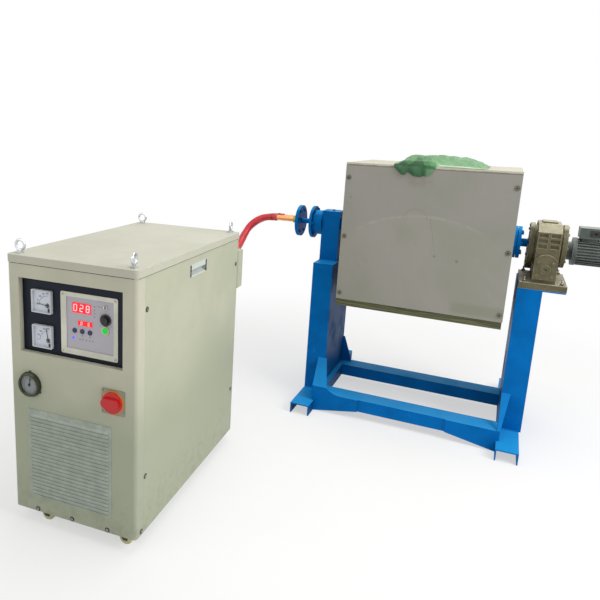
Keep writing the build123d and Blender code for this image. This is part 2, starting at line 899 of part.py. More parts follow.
with BuildPart() as gearbox_housing:
    fill(
        (gear_foot_left, column_front, gear_base),
        (gear_foot_left + gear_foot_width, column_front + gear_foot_length, gear_foot_top),
    )
    with BuildSketch(Plane.YZ.offset(case_left)):
        with BuildLine():
            Polyline(
                (case_front, gear_foot_top),
                (case_back, gear_foot_top),
                (case_back, trunnion_height + case_shoulder),
                (trunnion_y + case_crown_half, case_crown_z),
                (trunnion_y - case_crown_half, case_crown_z),
                (case_front, trunnion_height + case_shoulder),
                close=True,
            )
        make_face()
    extrude(amount=case_width)
    # Drum covers on both sides, each on a narrower neck
    with BuildSketch(trunnion_plane(drum_left)):
        Circle(drum_neck_radius)
    extrude(amount=drum_width)
    for start in (drum_left, drum_left + drum_width - drum_wall):
        with BuildSketch(trunnion_plane(start)):
            Circle(drum_radius)
        extrude(amount=drum_wall)
    # First stage case behind the main one
    fill(
        (first_case_left, first_case_front, worm_z - first_case_bottom),
        (first_case_right, first_case_back, motor_z + first_case_top),
    )
    with BuildSketch(worm_plane(case_back)):
        Circle(first_neck_radius)
    extrude(amount=first_case_gap)
    # Wheel chamber, worm chamber and first stage chamber
    with BuildSketch(trunnion_plane(drum_left + drum_wall)):
        Circle(cavity_radius)
    extrude(amount=drum_width - 2 * drum_wall, mode=Mode.SUBTRACT)
    with BuildSketch(worm_plane(case_front + worm_wall)):
        Circle(worm_radius + cavity_clearance)
    extrude(amount=2 * (case_half_length - worm_wall), mode=Mode.SUBTRACT)
    fill(
        (
            first_case_left + first_case_wall,
            first_case_front + first_case_wall,
            worm_z - first_case_bottom + first_case_wall,
        ),
        (
            first_case_right - first_case_wall,
            first_case_back - first_case_wall,
            motor_z + first_case_top - first_case_wall,
        ),
        mode=Mode.SUBTRACT,
    )
    # Shaft bores
    with BuildSketch(trunnion_plane(drum_left)):
        Circle(drive_shaft_radius + running_gap)
    extrude(amount=drum_width, mode=Mode.SUBTRACT)
    with BuildSketch(worm_plane(case_front)):
        Circle(worm_shaft_radius + running_gap)
    extrude(amount=first_case_back - case_front - first_case_wall / 2, mode=Mode.SUBTRACT)
    with BuildSketch(motor_plane(first_case_left + first_case_wall / 2)):
        Circle(motor_shaft_radius + running_gap)
    extrude(amount=first_case_width, mode=Mode.SUBTRACT)
    # Rows of pockets high on the front face
    pocket_plane = Plane.XZ.offset(-case_front)
    with BuildSketch(pocket_plane):
        for row in range(pocket_rows):
            pocket_z = trunnion_height + pocket_rise + (row - (pocket_rows - 1) / 2) * pocket_pitch
            for side in (-1, 1):
                with Locations((gear_x + side * pocket_offset, pocket_z)):
                    Rectangle(pocket_width, pocket_height)
    extrude(amount=-pocket_depth, mode=Mode.SUBTRACT)
    # Arched cover over the worm's front bearing
    with BuildSketch(pocket_plane):
        with BuildLine():
            cover_side = worm_cover_width / 2
            cover_outline = Polyline(
                (gear_x + cover_side, worm_z + worm_cover_shoulder),
                (gear_x + cover_side, worm_z - worm_cover_bottom),
                (gear_x - cover_side, worm_z - worm_cover_bottom),
                (gear_x - cover_side, worm_z + worm_cover_shoulder),
            )
            ThreePointArc(cover_outline @ 1, (gear_x, worm_z + worm_cover_top), cover_outline @ 0)
        make_face()
    extrude(amount=worm_cover_thickness)
    with BuildSketch(pocket_plane.offset(worm_cover_thickness)):
        with Locations((gear_x, worm_z)):
            Circle(worm_hub_radius)
    extrude(amount=worm_hub_length)
    with BuildSketch(pocket_plane.offset(worm_cover_thickness + worm_hub_length)):
        with Locations((gear_x, worm_z)):
            Circle(worm_hub_bore)
    extrude(amount=-worm_hub_length, mode=Mode.SUBTRACT)
    with BuildSketch(pocket_plane.offset(worm_cover_thickness)):
        with Locations((gear_x, worm_z)):
            with GridLocations(worm_cover_bolt_spacing, worm_cover_bolt_spacing, 2, 2):
                RegularPolygon(cover_bolt_radius, 6)
    extrude(amount=cover_bolt_height)
    # Bolts of the drum covers and of the foot
    for face_x, reach in (
        (drum_left, -cover_bolt_height),
        (drum_left + drum_width, cover_bolt_height),
    ):
        with BuildSketch(trunnion_plane(face_x)):
            with PolarLocations(cover_bolt_circle, cover_bolt_count):
                RegularPolygon(cover_bolt_radius, 6)
        extrude(amount=reach)
    with BuildSketch(Plane.XY.offset(gear_foot_top)):
        with Locations((gear_x, column_front + gear_foot_length / 2)):
            with GridLocations(
                gear_foot_width - 2 * gear_foot_bolt_inset,
                gear_foot_length - 2 * gear_foot_bolt_inset,
                2,
                2,
            ):
                RegularPolygon(gear_foot_bolt_radius, 6)
    extrude(amount=gear_foot_bolt_height)
    # Inspection plate on the crown
    with BuildSketch(Plane.XY.offset(case_crown_z)):
        with Locations((gear_x, trunnion_y)):
            Rectangle(crown_plate_width, crown_plate_length)
    extrude(amount=crown_plate_thickness)
gearbox_housing.part.label = "gearbox_housing"

# Motor housing
motor_flange_left = first_case_right + motor_adapter_length
motor_body_left = motor_flange_left + motor_flange_thickness
motor_body_right = motor_body_left + motor_length
fan_cover_right = motor_body_right + motor_fan_cover_length
motor_fin_radius = motor_radius + motor_fin_height
junction_left = motor_body_left + junction_inset
junction_bottom = motor_z + motor_fin_radius + junction_rise
with BuildPart() as motor_housing:
    with BuildSketch(motor_plane(first_case_right)):
        Circle(motor_adapter_radius)
    extrude(amount=motor_adapter_length)
    with BuildSketch(motor_plane(motor_flange_left)):
        Circle(motor_flange_radius)
    extrude(amount=motor_flange_thickness)
    with BuildSketch(motor_plane(motor_body_left)):
        Circle(motor_radius)
        with PolarLocations(motor_radius, motor_fin_count):
            Rectangle(2 * motor_fin_height, motor_fin_thickness)
    extrude(amount=motor_length)
    with BuildSketch(motor_plane(motor_body_right)):
        Circle(motor_fin_radius)
    extrude(amount=motor_fan_cover_length)
    # Stator bore, fan room and shaft bores
    with BuildSketch(motor_plane(motor_body_left)):
        Circle(motor_bore_radius)
    extrude(amount=motor_length - motor_end_wall, mode=Mode.SUBTRACT)
    with BuildSketch(motor_plane(motor_body_right)):
        Circle(motor_fin_radius - motor_fan_cover_wall)
    extrude(amount=motor_fan_cover_length - motor_fan_cover_wall, mode=Mode.SUBTRACT)
    with BuildSketch(motor_plane(first_case_right)):
        Circle(motor_shaft_radius + running_gap)
    extrude(amount=motor_body_right - first_case_right, mode=Mode.SUBTRACT)
    # Air slots in the fan cover's end
    with BuildSketch(motor_plane(fan_cover_right - 2 * motor_fan_cover_wall)):
        with PolarLocations(fan_slot_circle, fan_slot_count):
            Rectangle(fan_slot_length, fan_slot_width)
    extrude(amount=3 * motor_fan_cover_wall, mode=Mode.SUBTRACT)
    # Junction box on its neck, with a cable entry in front
    fill(
        (
            junction_left + junction_neck_inset,
            motor_y - junction_depth / 2 + junction_neck_inset,
            motor_z + motor_radius - junction_neck_sink,
        ),
        (
            junction_left + junction_length - junction_neck_inset,
            motor_y + junction_depth / 2 - junction_neck_inset,
            junction_bottom,
        ),
    )
    fill(
        (junction_left, motor_y - junction_depth / 2, junction_bottom),
        (
            junction_left + junction_length,
            motor_y + junction_depth / 2,
            junction_bottom + junction_height,
        ),
    )
    with BuildSketch(Plane.XZ.offset(-(motor_y - junction_depth / 2))):
        with Locations((junction_left + junction_entry_right, junction_bottom + junction_height / 2)):
            Circle(junction_entry_radius)
    extrude(amount=-junction_entry_depth, mode=Mode.SUBTRACT)
motor_housing.part.label = "motor_housing"

# Main worm with the first stage's wheel on its back end
worm_start = case_front + worm_wall / 2
with BuildPart() as worm_shaft:
    with BuildSketch(worm_plane(worm_start)):
        Circle(worm_shaft_radius)
    extrude(amount=first_case_back - first_case_wall - worm_start)
    with BuildSketch(worm_plane(trunnion_y - worm_length / 2)):
        Circle(worm_root_radius)
    extrude(amount=worm_length)
    worm_pitch = (worm_length - worm_ring_width) / (worm_rings - 1)
    for ring in range(worm_rings):
        with BuildSketch(worm_plane(trunnion_y - worm_length / 2 + ring * worm_pitch)):
            Circle(worm_radius)
        extrude(amount=worm_ring_width)
    # Thrust collars against the case walls
    for collar_y in (
        case_front + worm_wall + running_gap,
        case_back - worm_wall - worm_collar_width - running_gap,
    ):
        with BuildSketch(worm_plane(collar_y)):
            Circle(worm_radius)
        extrude(amount=worm_collar_width)
    with BuildSketch(worm_plane(motor_y - first_wheel_width / 2)):
        Circle(wheel_radius_first - first_tooth_depth)
        with PolarLocations(wheel_radius_first - first_tooth_depth, first_wheel_teeth):
            Rectangle(2 * first_tooth_depth, first_tooth_width)
    extrude(amount=first_wheel_width)
worm_shaft.part.label = "worm_shaft"

# Motor rotor with the first stage's worm and the cooling fan
rotor_left = (motor_body_left + motor_body_right - motor_end_wall - rotor_length) / 2
motor_fan_left = motor_body_right + (motor_fan_cover_length - motor_fan_width) / 2
first_worm_pitch = (first_worm_length - first_ring_width) / (first_worm_rings - 1)
with BuildPart() as motor_rotor:
    with BuildSketch(motor_plane(first_case_left + first_case_wall / 2 + running_gap)):
        Circle(motor_shaft_radius)
    extrude(amount=motor_fan_left + motor_fan_width - first_case_left - first_case_wall / 2)
    for ring in range(first_worm_rings):
        ring_x = gear_x - first_worm_length / 2 + ring * first_worm_pitch
        with BuildSketch(motor_plane(ring_x)):
            Circle(first_worm_radius)
        extrude(amount=first_ring_width)
    with BuildSketch(motor_plane(rotor_left)):
        Circle(rotor_radius)
    extrude(amount=rotor_length)
    with BuildSketch(motor_plane(motor_fan_left)):
        Circle(motor_fan_hub_radius)
        with PolarLocations(motor_fan_radius / 2, motor_fan_blades):
            Rectangle(motor_fan_radius, motor_fan_blade_thickness)
    extrude(amount=motor_fan_width)
motor_rotor.part.label = "motor_rotor"

# Furnace body: insulating boards between a bottom slab and a top slab
panel_bottom = body_bottom + bottom_slab_height
panel_top = body_top - top_slab_height
with BuildPart() as furnace_panels:
    fill((body_left, body_front, panel_bottom), (body_right, body_back, panel_top))
    fill(
        (
            body_left + side_panel_thickness,
            body_front + panel_thickness,
            panel_bottom,
        ),
        (
            body_right - side_panel_thickness,
            body_back - panel_thickness,
            panel_top,
        ),
        mode=Mode.SUBTRACT,
    )
    with BuildSketch(trunnion_plane(body_left)):
        Circle(trunnion_bore_radius)
    extrude(amount=side_panel_thickness, mode=Mode.SUBTRACT)
furnace_panels.part.label = "furnace_panels"

with BuildPart() as bottom_slab:
    fill(
        (body_left + slab_inset, body_front + slab_inset, body_bottom),
        (body_right - slab_inset, body_back - slab_inset, panel_bottom),
    )
bottom_slab.part.label = "bottom_slab"

with BuildPart() as top_slab:
    fill((body_left, body_front, panel_top), (body_right, body_back, body_top))
    with BuildSketch(Plane.XY.offset(panel_top)):
        with Locations((body_centre_x, trunnion_y)):
            Circle(mouth_radius)
    extrude(amount=top_slab_height, mode=Mode.SUBTRACT)
    # Pouring groove from the mouth to the front edge
    fill(
        (body_centre_x - spout_width / 2, body_front, body_top - spout_depth),
        (body_centre_x + spout_width / 2, trunnion_y, body_top),
        mode=Mode.SUBTRACT,
    )
top_slab.part.label = "top_slab"

# Crucible standing on the hearth
hearth_top = panel_bottom + hearth_height
with BuildPart() as crucible:
    with BuildSketch(Plane.XY.offset(hearth_top)):
        with Locations((body_centre_x, trunnion_y)):
            Circle(crucible_outer_radius)
    extrude(amount=panel_top - hearth_top)
    with BuildSketch(Plane.XY.offset(hearth_top + crucible_floor)):
        with Locations((body_centre_x, trunnion_y)):
            Circle(crucible_bore_radius)
    extrude(amount=panel_top - hearth_top - crucible_floor, mode=Mode.SUBTRACT)
    bore_floor = crucible.edges().filter_by(GeomType.CIRCLE)
    bore_floor = bore_floor.filter_by_position(
        Axis.Z, hearth_top + crucible_floor - seat_gap, hearth_top + crucible_floor + seat_gap
    )
    fillet(bore_floor, crucible_fillet)
crucible.part.label = "crucible"

# Refractory sleeve on its hearth block
with BuildPart() as furnace_lining:
    with BuildSketch(Plane.XY.offset(panel_bottom)):
        with Locations((body_centre_x, trunnion_y)):
            Circle(hearth_radius)
    extrude(amount=hearth_height)
    with BuildSketch(Plane.XY.offset(hearth_top)):
        with Locations((body_centre_x, trunnion_y)):
            Circle(lining_outer_radius)
            Circle(crucible_outer_radius + seat_gap, mode=Mode.SUBTRACT)
    extrude(amount=panel_top - hearth_top)
furnace_lining.part.label = "furnace_lining"

# Induction coil around the sleeve, with both tails reaching the left board
coil_radius = lining_outer_radius + coil_gap + coil_tube_radius
coil_bottom = hearth_top + coil_start_height
coil_height = coil_turns * coil_pitch
with BuildPart() as induction_coil:
    coil_plane = Plane(
        origin=(body_centre_x, trunnion_y, coil_bottom), x_dir=(-1, 0, 0), z_dir=(0, 0, 1)
    )
    with BuildLine(coil_plane) as coil_path:
        Helix(pitch=coil_pitch, height=coil_height, radius=coil_radius)
    with BuildSketch(Plane(origin=coil_path.line @ 0, z_dir=coil_path.line % 0)):
        Circle(coil_tube_radius)
    sweep(is_frenet=True)
    for tail_end in (coil_bottom, coil_bottom + coil_height):
        tail_x = body_left + side_panel_thickness
        with BuildSketch(
            Plane(origin=(tail_x, trunnion_y, tail_end), x_dir=(0, 1, 0), z_dir=(1, 0, 0))
        ):
            Circle(coil_tube_radius)
        extrude(amount=body_centre_x - coil_radius - tail_x)
induction_coil.part.label = "induction_coil"

# Hollow left trunnion with its mounting plate
with BuildPart() as left_trunnion:
    with BuildSketch(trunnion_plane(trunnion_end)):
        Circle(trunnion_radius)
    extrude(amount=body_left - trunnion_end)
    with BuildSketch(trunnion_plane(body_left - trunnion_plate_thickness)):
        Circle(trunnion_plate_radius)
    extrude(amount=trunnion_plate_thickness)
    with BuildSketch(trunnion_plane(trunnion_end)):
        Circle(trunnion_bore_radius)
    extrude(amount=body_left - trunnion_end, mode=Mode.SUBTRACT)
left_trunnion.part.label = "left_trunnion"

# Right trunnion: a pair of bolted flanges on the drive shaft
coupling_right = body_right + 2 * drive_flange_thickness + drive_flange_gap
with BuildPart() as right_trunnion:
    for start in (body_right, coupling_right - drive_flange_thickness):
        with BuildSketch(trunnion_plane(start)):
            Circle(drive_flange_radius)
        extrude(amount=drive_flange_thickness)
    with BuildSketch(trunnion_plane(body_right)):
        Circle(drive_bolt_circle - 2 * drive_bolt_radius)
    extrude(amount=coupling_right - body_right)
    with BuildSketch(trunnion_plane(coupling_right)):
        Circle(drive_shaft_radius)
    extrude(amount=drum_left + drum_width - drive_shaft_end_gap - coupling_right)
    # Collar that the worm wheel seats against
    with BuildSketch(trunnion_plane(gear_x - wheel_hub_width / 2 - wheel_collar_width)):
        Circle(wheel_hub_radius)
    extrude(amount=wheel_collar_width)
    with BuildSketch(trunnion_plane(coupling_right)):
        with PolarLocations(drive_bolt_circle, drive_bolt_count):
            RegularPolygon(drive_bolt_radius, 6)
    extrude(amount=drive_bolt_height)
right_trunnion.part.label = "right_trunnion"

with BuildPart() as worm_wheel:
    with BuildSketch(trunnion_plane(gear_x - wheel_hub_width / 2)):
        Circle(wheel_hub_radius)
    extrude(amount=wheel_hub_width)
    wheel_root_radius = wheel_radius_main - wheel_tooth_depth
    with BuildSketch(trunnion_plane(gear_x - wheel_width / 2)):
        Circle(wheel_root_radius)
        with PolarLocations(wheel_root_radius, wheel_teeth):
            Rectangle(2 * wheel_tooth_depth, wheel_tooth_width)
    extrude(amount=wheel_width)
    with BuildSketch(trunnion_plane(gear_x - wheel_hub_width / 2)):
        Circle(drive_shaft_radius + seat_gap)
    extrude(amount=wheel_hub_width, mode=Mode.SUBTRACT)
worm_wheel.part.label = "worm_wheel"

# Washers and heads of the screws that hold the front and back boards
with BuildPart() as furnace_screws:
    screw_spacing_x = body_width - 2 * body_screw_inset
    screw_low = body_bottom + body_screw_bottom
    screw_high = body_top - body_screw_top
    for face_y, direction in ((body_front, 1), (body_back, -1)):
        for depth, radius in (
            (body_screw_washer_height, body_screw_washer_radius),
            (body_screw_height, body_screw_radius),
        ):
            with BuildSketch(Plane.XZ.offset(-face_y)):
                with Locations((body_centre_x, (screw_low + screw_high) / 2)):
                    with GridLocations(screw_spacing_x, (screw_high - screw_low) / 2, 2, 3):
                        Circle(radius)
            extrude(amount=direction * depth)
furnace_screws.part.label = "furnace_screws"

# Cabinet sheets, all in the cabinet's own frame
sheets_top = cabinet_height - sheet
cabinet_middle = (cabinet_width / 2, cabinet_depth / 2)
inner_width = cabinet_width - 2 * sheet
inner_depth = cabinet_depth - 2 * sheet
floor_top = floor_height + floor_thickness
castor_places = {
    "front_left": (castor_left_a, castor_front_b),
    "front_right": (castor_right_a, castor_front_b),
    "back_left": (castor_left_a, castor_back_b),
    "back_right": (castor_right_a, castor_back_b),
}

with BuildPart(cabinet) as cabinet_base:
    with BuildSketch(cabinet.offset(floor_height)):
        with Locations(cabinet_middle):
            RectangleRounded(inner_width, inner_depth, corner_radius)
    extrude(amount=base_height)
    with BuildSketch(cabinet.offset(floor_top)):
        with Locations(cabinet_middle):
            RectangleRounded(
                inner_width - 2 * base_wall, inner_depth - 2 * base_wall, corner_radius - base_wall
            )
    extrude(amount=base_height - floor_thickness, mode=Mode.SUBTRACT)
    # Castor plates under the floor, with the holes of the swivel pins
    with BuildSketch(cabinet.offset(floor_height)):
        with Locations(*castor_places.values()):
            Rectangle(castor_plate_size, castor_plate_size)
    extrude(amount=-castor_plate_thickness)
    with BuildSketch(cabinet.offset(floor_height - castor_plate_thickness)):
        with Locations(*castor_places.values()):
            Circle(castor_pin_radius + running_gap)
    extrude(amount=castor_plate_thickness + floor_thickness, mode=Mode.SUBTRACT)
cabinet_base.part.label = "cabinet_base"

with BuildPart(cabinet) as cabinet_front:
    with BuildSketch(cabinet.offset(cabinet_clearance)):
        with Locations(cabinet_middle):
            RectangleRounded(cabinet_width, cabinet_depth, corner_radius)
            RectangleRounded(inner_width, inner_depth, corner_radius - sheet, mode=Mode.SUBTRACT)
    extrude(amount=sheets_top - cabinet_clearance)
    fill(
        (0, front_return, cabinet_clearance),
        (cabinet_width, cabinet_depth, sheets_top),
        mode=Mode.SUBTRACT,
    )
    # Walls of the instrument recess
    fill(
        (recess_left - sheet, 0, recess_bottom - sheet),
        (recess_right + sheet, recess_depth, recess_top + sheet),
    )
    fill(
        (recess_left, 0, recess_bottom),
        (recess_right, recess_depth, recess_top),
        mode=Mode.SUBTRACT,
    )
    # Holes for the gauge, the isolator and the intake
    for hole_a, hole_z, hole_radius in (
        (gauge_a, gauge_z, gauge_barrel_radius),
        (isolator_a, isolator_z, isolator_neck_radius),
    ):
        with BuildSketch(cabinet_face(hole_a, 0, hole_z)):
            Circle(hole_radius + seat_gap)
        extrude(amount=-sheet, mode=Mode.SUBTRACT)
    fill(
        (grille_left + grille_margin, 0, grille_bottom + grille_margin),
        (grille_right - grille_margin, sheet, grille_top - grille_margin),
        mode=Mode.SUBTRACT,
    )
cabinet_front.part.label = "cabinet_front"

pull_half = pull_length / 2 - pull_rim
pull_rise = pull_height / 2 - pull_rim
with BuildPart(cabinet) as cabinet_sides:
    for left in (0, cabinet_width - sheet):
        fill(
            (left, front_return + seam, cabinet_clearance),
            (left + sheet, cabinet_depth - back_return - seam, sheets_top),
        )
        fill(
            (left, pull_centre_b - pull_half - seat_gap, pull_centre_z - pull_rise - seat_gap),
            (
                left + sheet,
                pull_centre_b + pull_half + seat_gap,
                pull_centre_z + pull_rise + seat_gap,
            ),
            mode=Mode.SUBTRACT,
        )
cabinet_sides.part.label = "cabinet_sides"

with BuildPart(cabinet) as cabinet_back:
    with BuildSketch(cabinet.offset(cabinet_clearance)):
        with Locations(cabinet_middle):
            RectangleRounded(cabinet_width, cabinet_depth, corner_radius)
            RectangleRounded(inner_width, inner_depth, corner_radius - sheet, mode=Mode.SUBTRACT)
    extrude(amount=sheets_top - cabinet_clearance)
    fill(
        (0, 0, cabinet_clearance),
        (cabinet_width, cabinet_depth - back_return, sheets_top),
        mode=Mode.SUBTRACT,
    )
    fill(
        (box_left + box_margin, cabinet_depth - sheet, box_bottom + box_margin),
        (box_right - box_margin, cabinet_depth, box_top - box_margin),
        mode=Mode.SUBTRACT,
    )
    for hole_a in port_a:
        with BuildSketch(cabinet_face(hole_a, cabinet_depth, port_z)):
            Circle(port_radius + seat_gap)
        extrude(amount=sheet, mode=Mode.SUBTRACT)
cabinet_back.part.label = "cabinet_back"

lid_bottom = cabinet_height - lid_height
lid_out = sheet + seat_gap
with BuildPart(cabinet) as cabinet_lid:
    with BuildSketch(cabinet.offset(lid_bottom)):
        with Locations(cabinet_middle):
            RectangleRounded(
                cabinet_width + 2 * lid_out, cabinet_depth + 2 * lid_out, corner_radius + lid_out
            )
    extrude(amount=lid_height)
    fillet(cabinet_lid.edges().group_by(Axis.Z)[-1], lid_edge_radius)
    with BuildSketch(cabinet.offset(lid_bottom)):
        with Locations(cabinet_middle):
            RectangleRounded(
                cabinet_width + 2 * seat_gap, cabinet_depth + 2 * seat_gap, corner_radius + seat_gap
            )
    extrude(amount=lid_height - sheet, mode=Mode.SUBTRACT)
    with BuildSketch(cabinet.offset(cabinet_height)):
        with Locations(cabinet_middle):
            with GridLocations(
                cabinet_width - 2 * eye_inset, cabinet_depth - 2 * eye_inset, 2, 2
            ):
                Circle(eye_shank_radius + seat_gap)
    extrude(amount=-sheet, mode=Mode.SUBTRACT)
cabinet_lid.part.label = "cabinet_lid"

# Eye bolts with nuts under the lid
eye_centre_z = cabinet_height + eye_centre_height
with BuildPart(cabinet) as lifting_eyes:
    for radius, bottom, height in (
        (eye_collar_radius, cabinet_height, eye_collar_height),
        (eye_shank_radius, cabinet_height - eye_shank_length, eye_shank_length),
    ):
        with BuildSketch(cabinet.offset(bottom)):
            with Locations(cabinet_middle):
                with GridLocations(
                    cabinet_width - 2 * eye_inset, cabinet_depth - 2 * eye_inset, 2, 2
                ):
                    Circle(radius)
        extrude(amount=height)
    with BuildSketch(cabinet.offset(sheets_top)):
        with Locations(cabinet_middle):
            with GridLocations(
                cabinet_width - 2 * eye_inset, cabinet_depth - 2 * eye_inset, 2, 2
            ):
                RegularPolygon(eye_nut_radius, 6)
    extrude(amount=-eye_nut_height)
    for eye_a, eye_turn in ((eye_inset, 0), (cabinet_width - eye_inset, right_eye_turn)):
        for eye_b in (eye_inset, cabinet_depth - eye_inset):
            with Locations(Location((eye_a, eye_b, eye_centre_z), (0, 0, eye_turn))):
                Torus(
                    (eye_ring_radius + eye_bore_radius) / 2,
                    (eye_ring_radius - eye_bore_radius) / 2,
                    rotation=(90, 0, 0),
                )
lifting_eyes.part.label = "lifting_eyes"


def pull_cup(plane):
    """Recessed pull handle seen from outside: u along the side, v up, w out of the sheet."""
    with BuildPart(plane) as cup:
        fill((-pull_half, -pull_rise, -pull_depth), (pull_half, pull_rise, 0))
        fill(
            (-pull_length / 2, -pull_height / 2, 0),
            (pull_length / 2, pull_height / 2, pull_wall),
        )
        fill(
            (-pull_half + pull_wall, -pull_rise + pull_wall, -pull_depth + pull_wall),
            (pull_half - pull_wall, pull_rise - pull_wall, pull_wall),
            mode=Mode.SUBTRACT,
        )
        # Curved lower lip and the upper plate that the fingers go behind
        with BuildSketch(
            Plane(
                origin=plane.from_local_coords((-pull_half + pull_wall, 0, 0)),
                x_dir=plane.z_dir,
                z_dir=plane.x_dir,
            )
        ):
            with BuildLine():
                lip_bottom = -pull_rise + pull_wall
                lip_back = -pull_depth + pull_wall
                lip = Polyline(
                    (pull_wall, -lip_bottom),
                    (lip_back, -lip_bottom),
                    (lip_back, -lip_bottom - pull_lip_height),
                )
                RadiusArc(lip @ 1, lip @ 0, pull_lip_radius)
            make_face()
        extrude(amount=2 * (pull_half - pull_wall))
        fill(
            (-pull_half + pull_wall, pull_gap_top, -pull_wall),
            (pull_half - pull_wall, pull_rise - pull_wall, pull_wall),
        )
    return cup.part


# Pull handles on both sides, the left one turned to face left
right_pull_plane = cabinet_side(cabinet_width, pull_centre_b, pull_centre_z)
left_pull_plane = Plane(
    origin=cabinet_point(0, pull_centre_b, pull_centre_z),
    x_dir=-cabinet.y_dir,
    z_dir=-cabinet.x_dir,
)
right_pull = pull_cup(right_pull_plane)
left_pull = pull_cup(left_pull_plane)
with BuildPart() as side_pulls:
    add(right_pull)
    add(left_pull)
side_pulls.part.label = "side_pulls"

# Box at the back where the water-cooled cables arrive
with BuildPart(cabinet) as terminal_box:
    fill(
        (box_left, cabinet_depth, box_bottom),
        (box_right, cabinet_depth + box_depth, box_top),
    )
    fill(
        (box_left + sheet, cabinet_depth, box_bottom + sheet),
        (box_right - sheet, cabinet_depth + box_depth - sheet, box_top - sheet),
        mode=Mode.SUBTRACT,
    )
    for hole_a in tail_a:
        with BuildSketch(cabinet_face(hole_a, cabinet_depth + box_depth, tail_z)):
            Circle(tail_radius + seat_gap)
        extrude(amount=sheet, mode=Mode.SUBTRACT)
terminal_box.part.label = "terminal_box"

# Brass and copper: the cable ends, their nuts and the water ports
cable_y = (trunnion_y - cable_spacing / 2, trunnion_y + cable_spacing / 2)
cable_end_x = (stand_left - near_cable_reach, stand_left - far_cable_reach)
lead_nut_x = flange_left - lead_nut_length
with BuildPart() as brass_fittings:
    for y, end_x in zip(cable_y, cable_end_x):
        for start, end, shape in ((lead_nut_x, flange_left, "nut"), (end_x, lead_nut_x, "lead")):
            with BuildSketch(
                Plane(
                    origin=(start, y, trunnion_height + lead_rise), x_dir=(0, 1, 0), z_dir=(1, 0, 0)
                )
            ):
                if shape == "nut":
                    RegularPolygon(lead_nut_radius, 6)
                else:
                    Circle(lead_radius)
            extrude(amount=end - start)
    for hole_a in tail_a:
        back = cabinet_depth + box_depth
        for start, length, radius in (
            (back + tail_length, tail_length + sheet + tail_nut_length, tail_radius),
            (back + tail_nut_length, tail_nut_length, tail_nut_radius),
            (back - sheet, tail_nut_length, tail_nut_radius),
        ):
            with BuildSketch(cabinet_face(hole_a, start, tail_z)):
                Circle(radius)
            extrude(amount=length)
    for hole_a in port_a:
        for start, length, radius in (
            (cabinet_depth + port_length, 2 * port_length, port_radius),
            (cabinet_depth + port_nut_length, port_nut_length, port_nut_radius),
            (cabinet_depth - sheet, port_nut_length, port_nut_radius),
        ):
            with BuildSketch(cabinet_face(hole_a, start, port_z)):
                Circle(radius)
            extrude(amount=length)
        with BuildSketch(cabinet_face(hole_a, cabinet_depth + port_length, port_z)):
            Circle(port_bore_radius)
        extrude(amount=2 * port_length, mode=Mode.SUBTRACT)
brass_fittings.part.label = "brass_fittings"

# Screw heads on the cabinet's sides and along the front's lower edge
with BuildPart() as cabinet_screws:
    side_screws = [
        (b, z)
        for b in (side_screw_front, side_screw_back)
        for z in (side_screw_low, side_screw_high)
    ]
    side_screws.append((foot_screw_b, foot_screw_z))
    for a, reach in ((0, -cabinet_screw_height), (cabinet_width, cabinet_screw_height)):
        with BuildSketch(cabinet_side(a, 0, 0)):
            with Locations(*side_screws):
                Circle(cabinet_screw_radius)
        extrude(amount=reach)
    with BuildSketch(cabinet_face(0, 0, front_screw_z)):
        with Locations(*[(a, 0) for a in front_screw_a]):
            Circle(cabinet_screw_radius)
    extrude(amount=cabinet_screw_height)
cabinet_screws.part.label = "cabinet_screws"

# Instrument panel behind the recess, with the meters' holes and the module's cut-out
panel_face = cabinet_face(0, recess_depth, 0)
with BuildPart(panel_face) as instrument_panel:
    fill(
        (
            recess_left - recess_panel_margin,
            recess_bottom - recess_panel_margin,
            -recess_panel_thickness,
        ),
        (recess_right + recess_panel_margin, recess_top + recess_panel_margin, 0),
    )
    with BuildSketch(panel_face):
        with Locations((meter_centre_a, upper_meter_z), (meter_centre_a, lower_meter_z)):
            Circle(meter_barrel_radius + seat_gap)
        with Locations(module_box_middle):
            Rectangle(module_body_width + 2 * seat_gap, module_body_height + 2 * seat_gap)
    extrude(amount=-recess_panel_thickness, mode=Mode.SUBTRACT)
instrument_panel.part.label = "instrument_panel"

meter_floor = meter_height - meter_pocket_depth
meter_pivots = {
    "upper": (meter_centre_a + meter_pivot_right, upper_meter_z - meter_pivot_down),
    "lower": (meter_centre_a + meter_pivot_right, lower_meter_z - meter_pivot_down),
}
with BuildPart(panel_face) as panel_meters:
    for z in (upper_meter_z, lower_meter_z):
        with BuildSketch(panel_face):
            with Locations((meter_centre_a, z)):
                RectangleRounded(meter_size, meter_size, meter_corner_radius)
        extrude(amount=meter_height)
        with BuildSketch(panel_face.offset(meter_floor)):
            with Locations((meter_centre_a, z)):
                Rectangle(meter_size - 2 * meter_rim, meter_size - 2 * meter_rim)
        extrude(amount=meter_pocket_depth, mode=Mode.SUBTRACT)
        with BuildSketch(panel_face):
            with Locations((meter_centre_a, z)):
                Circle(meter_barrel_radius)
        extrude(amount=-meter_barrel_length)
    with BuildSketch(panel_face.offset(meter_floor)):
        with Locations(*meter_pivots.values()):
            Circle(meter_pivot_radius)
    extrude(amount=meter_pivot_length)
panel_meters.part.label = "panel_meters"


def needle(plane, length, tail, width, thickness, hub_radius, hub_height, angle):
    """Pointer on its hub: turned about the plane's origin, bored for its pivot pin."""
    with BuildPart(plane) as pointer:
        with BuildSketch(plane):
            with PolarLocations((length - tail) / 2, 1, start_angle=angle):
                Rectangle(length + tail, width)
        extrude(amount=thickness)
        with BuildSketch(plane):
            Circle(hub_radius)
        extrude(amount=hub_height)
        with BuildSketch(plane):
            Circle(meter_pivot_radius + running_gap)
        extrude(amount=hub_height, mode=Mode.SUBTRACT)
    return pointer.part


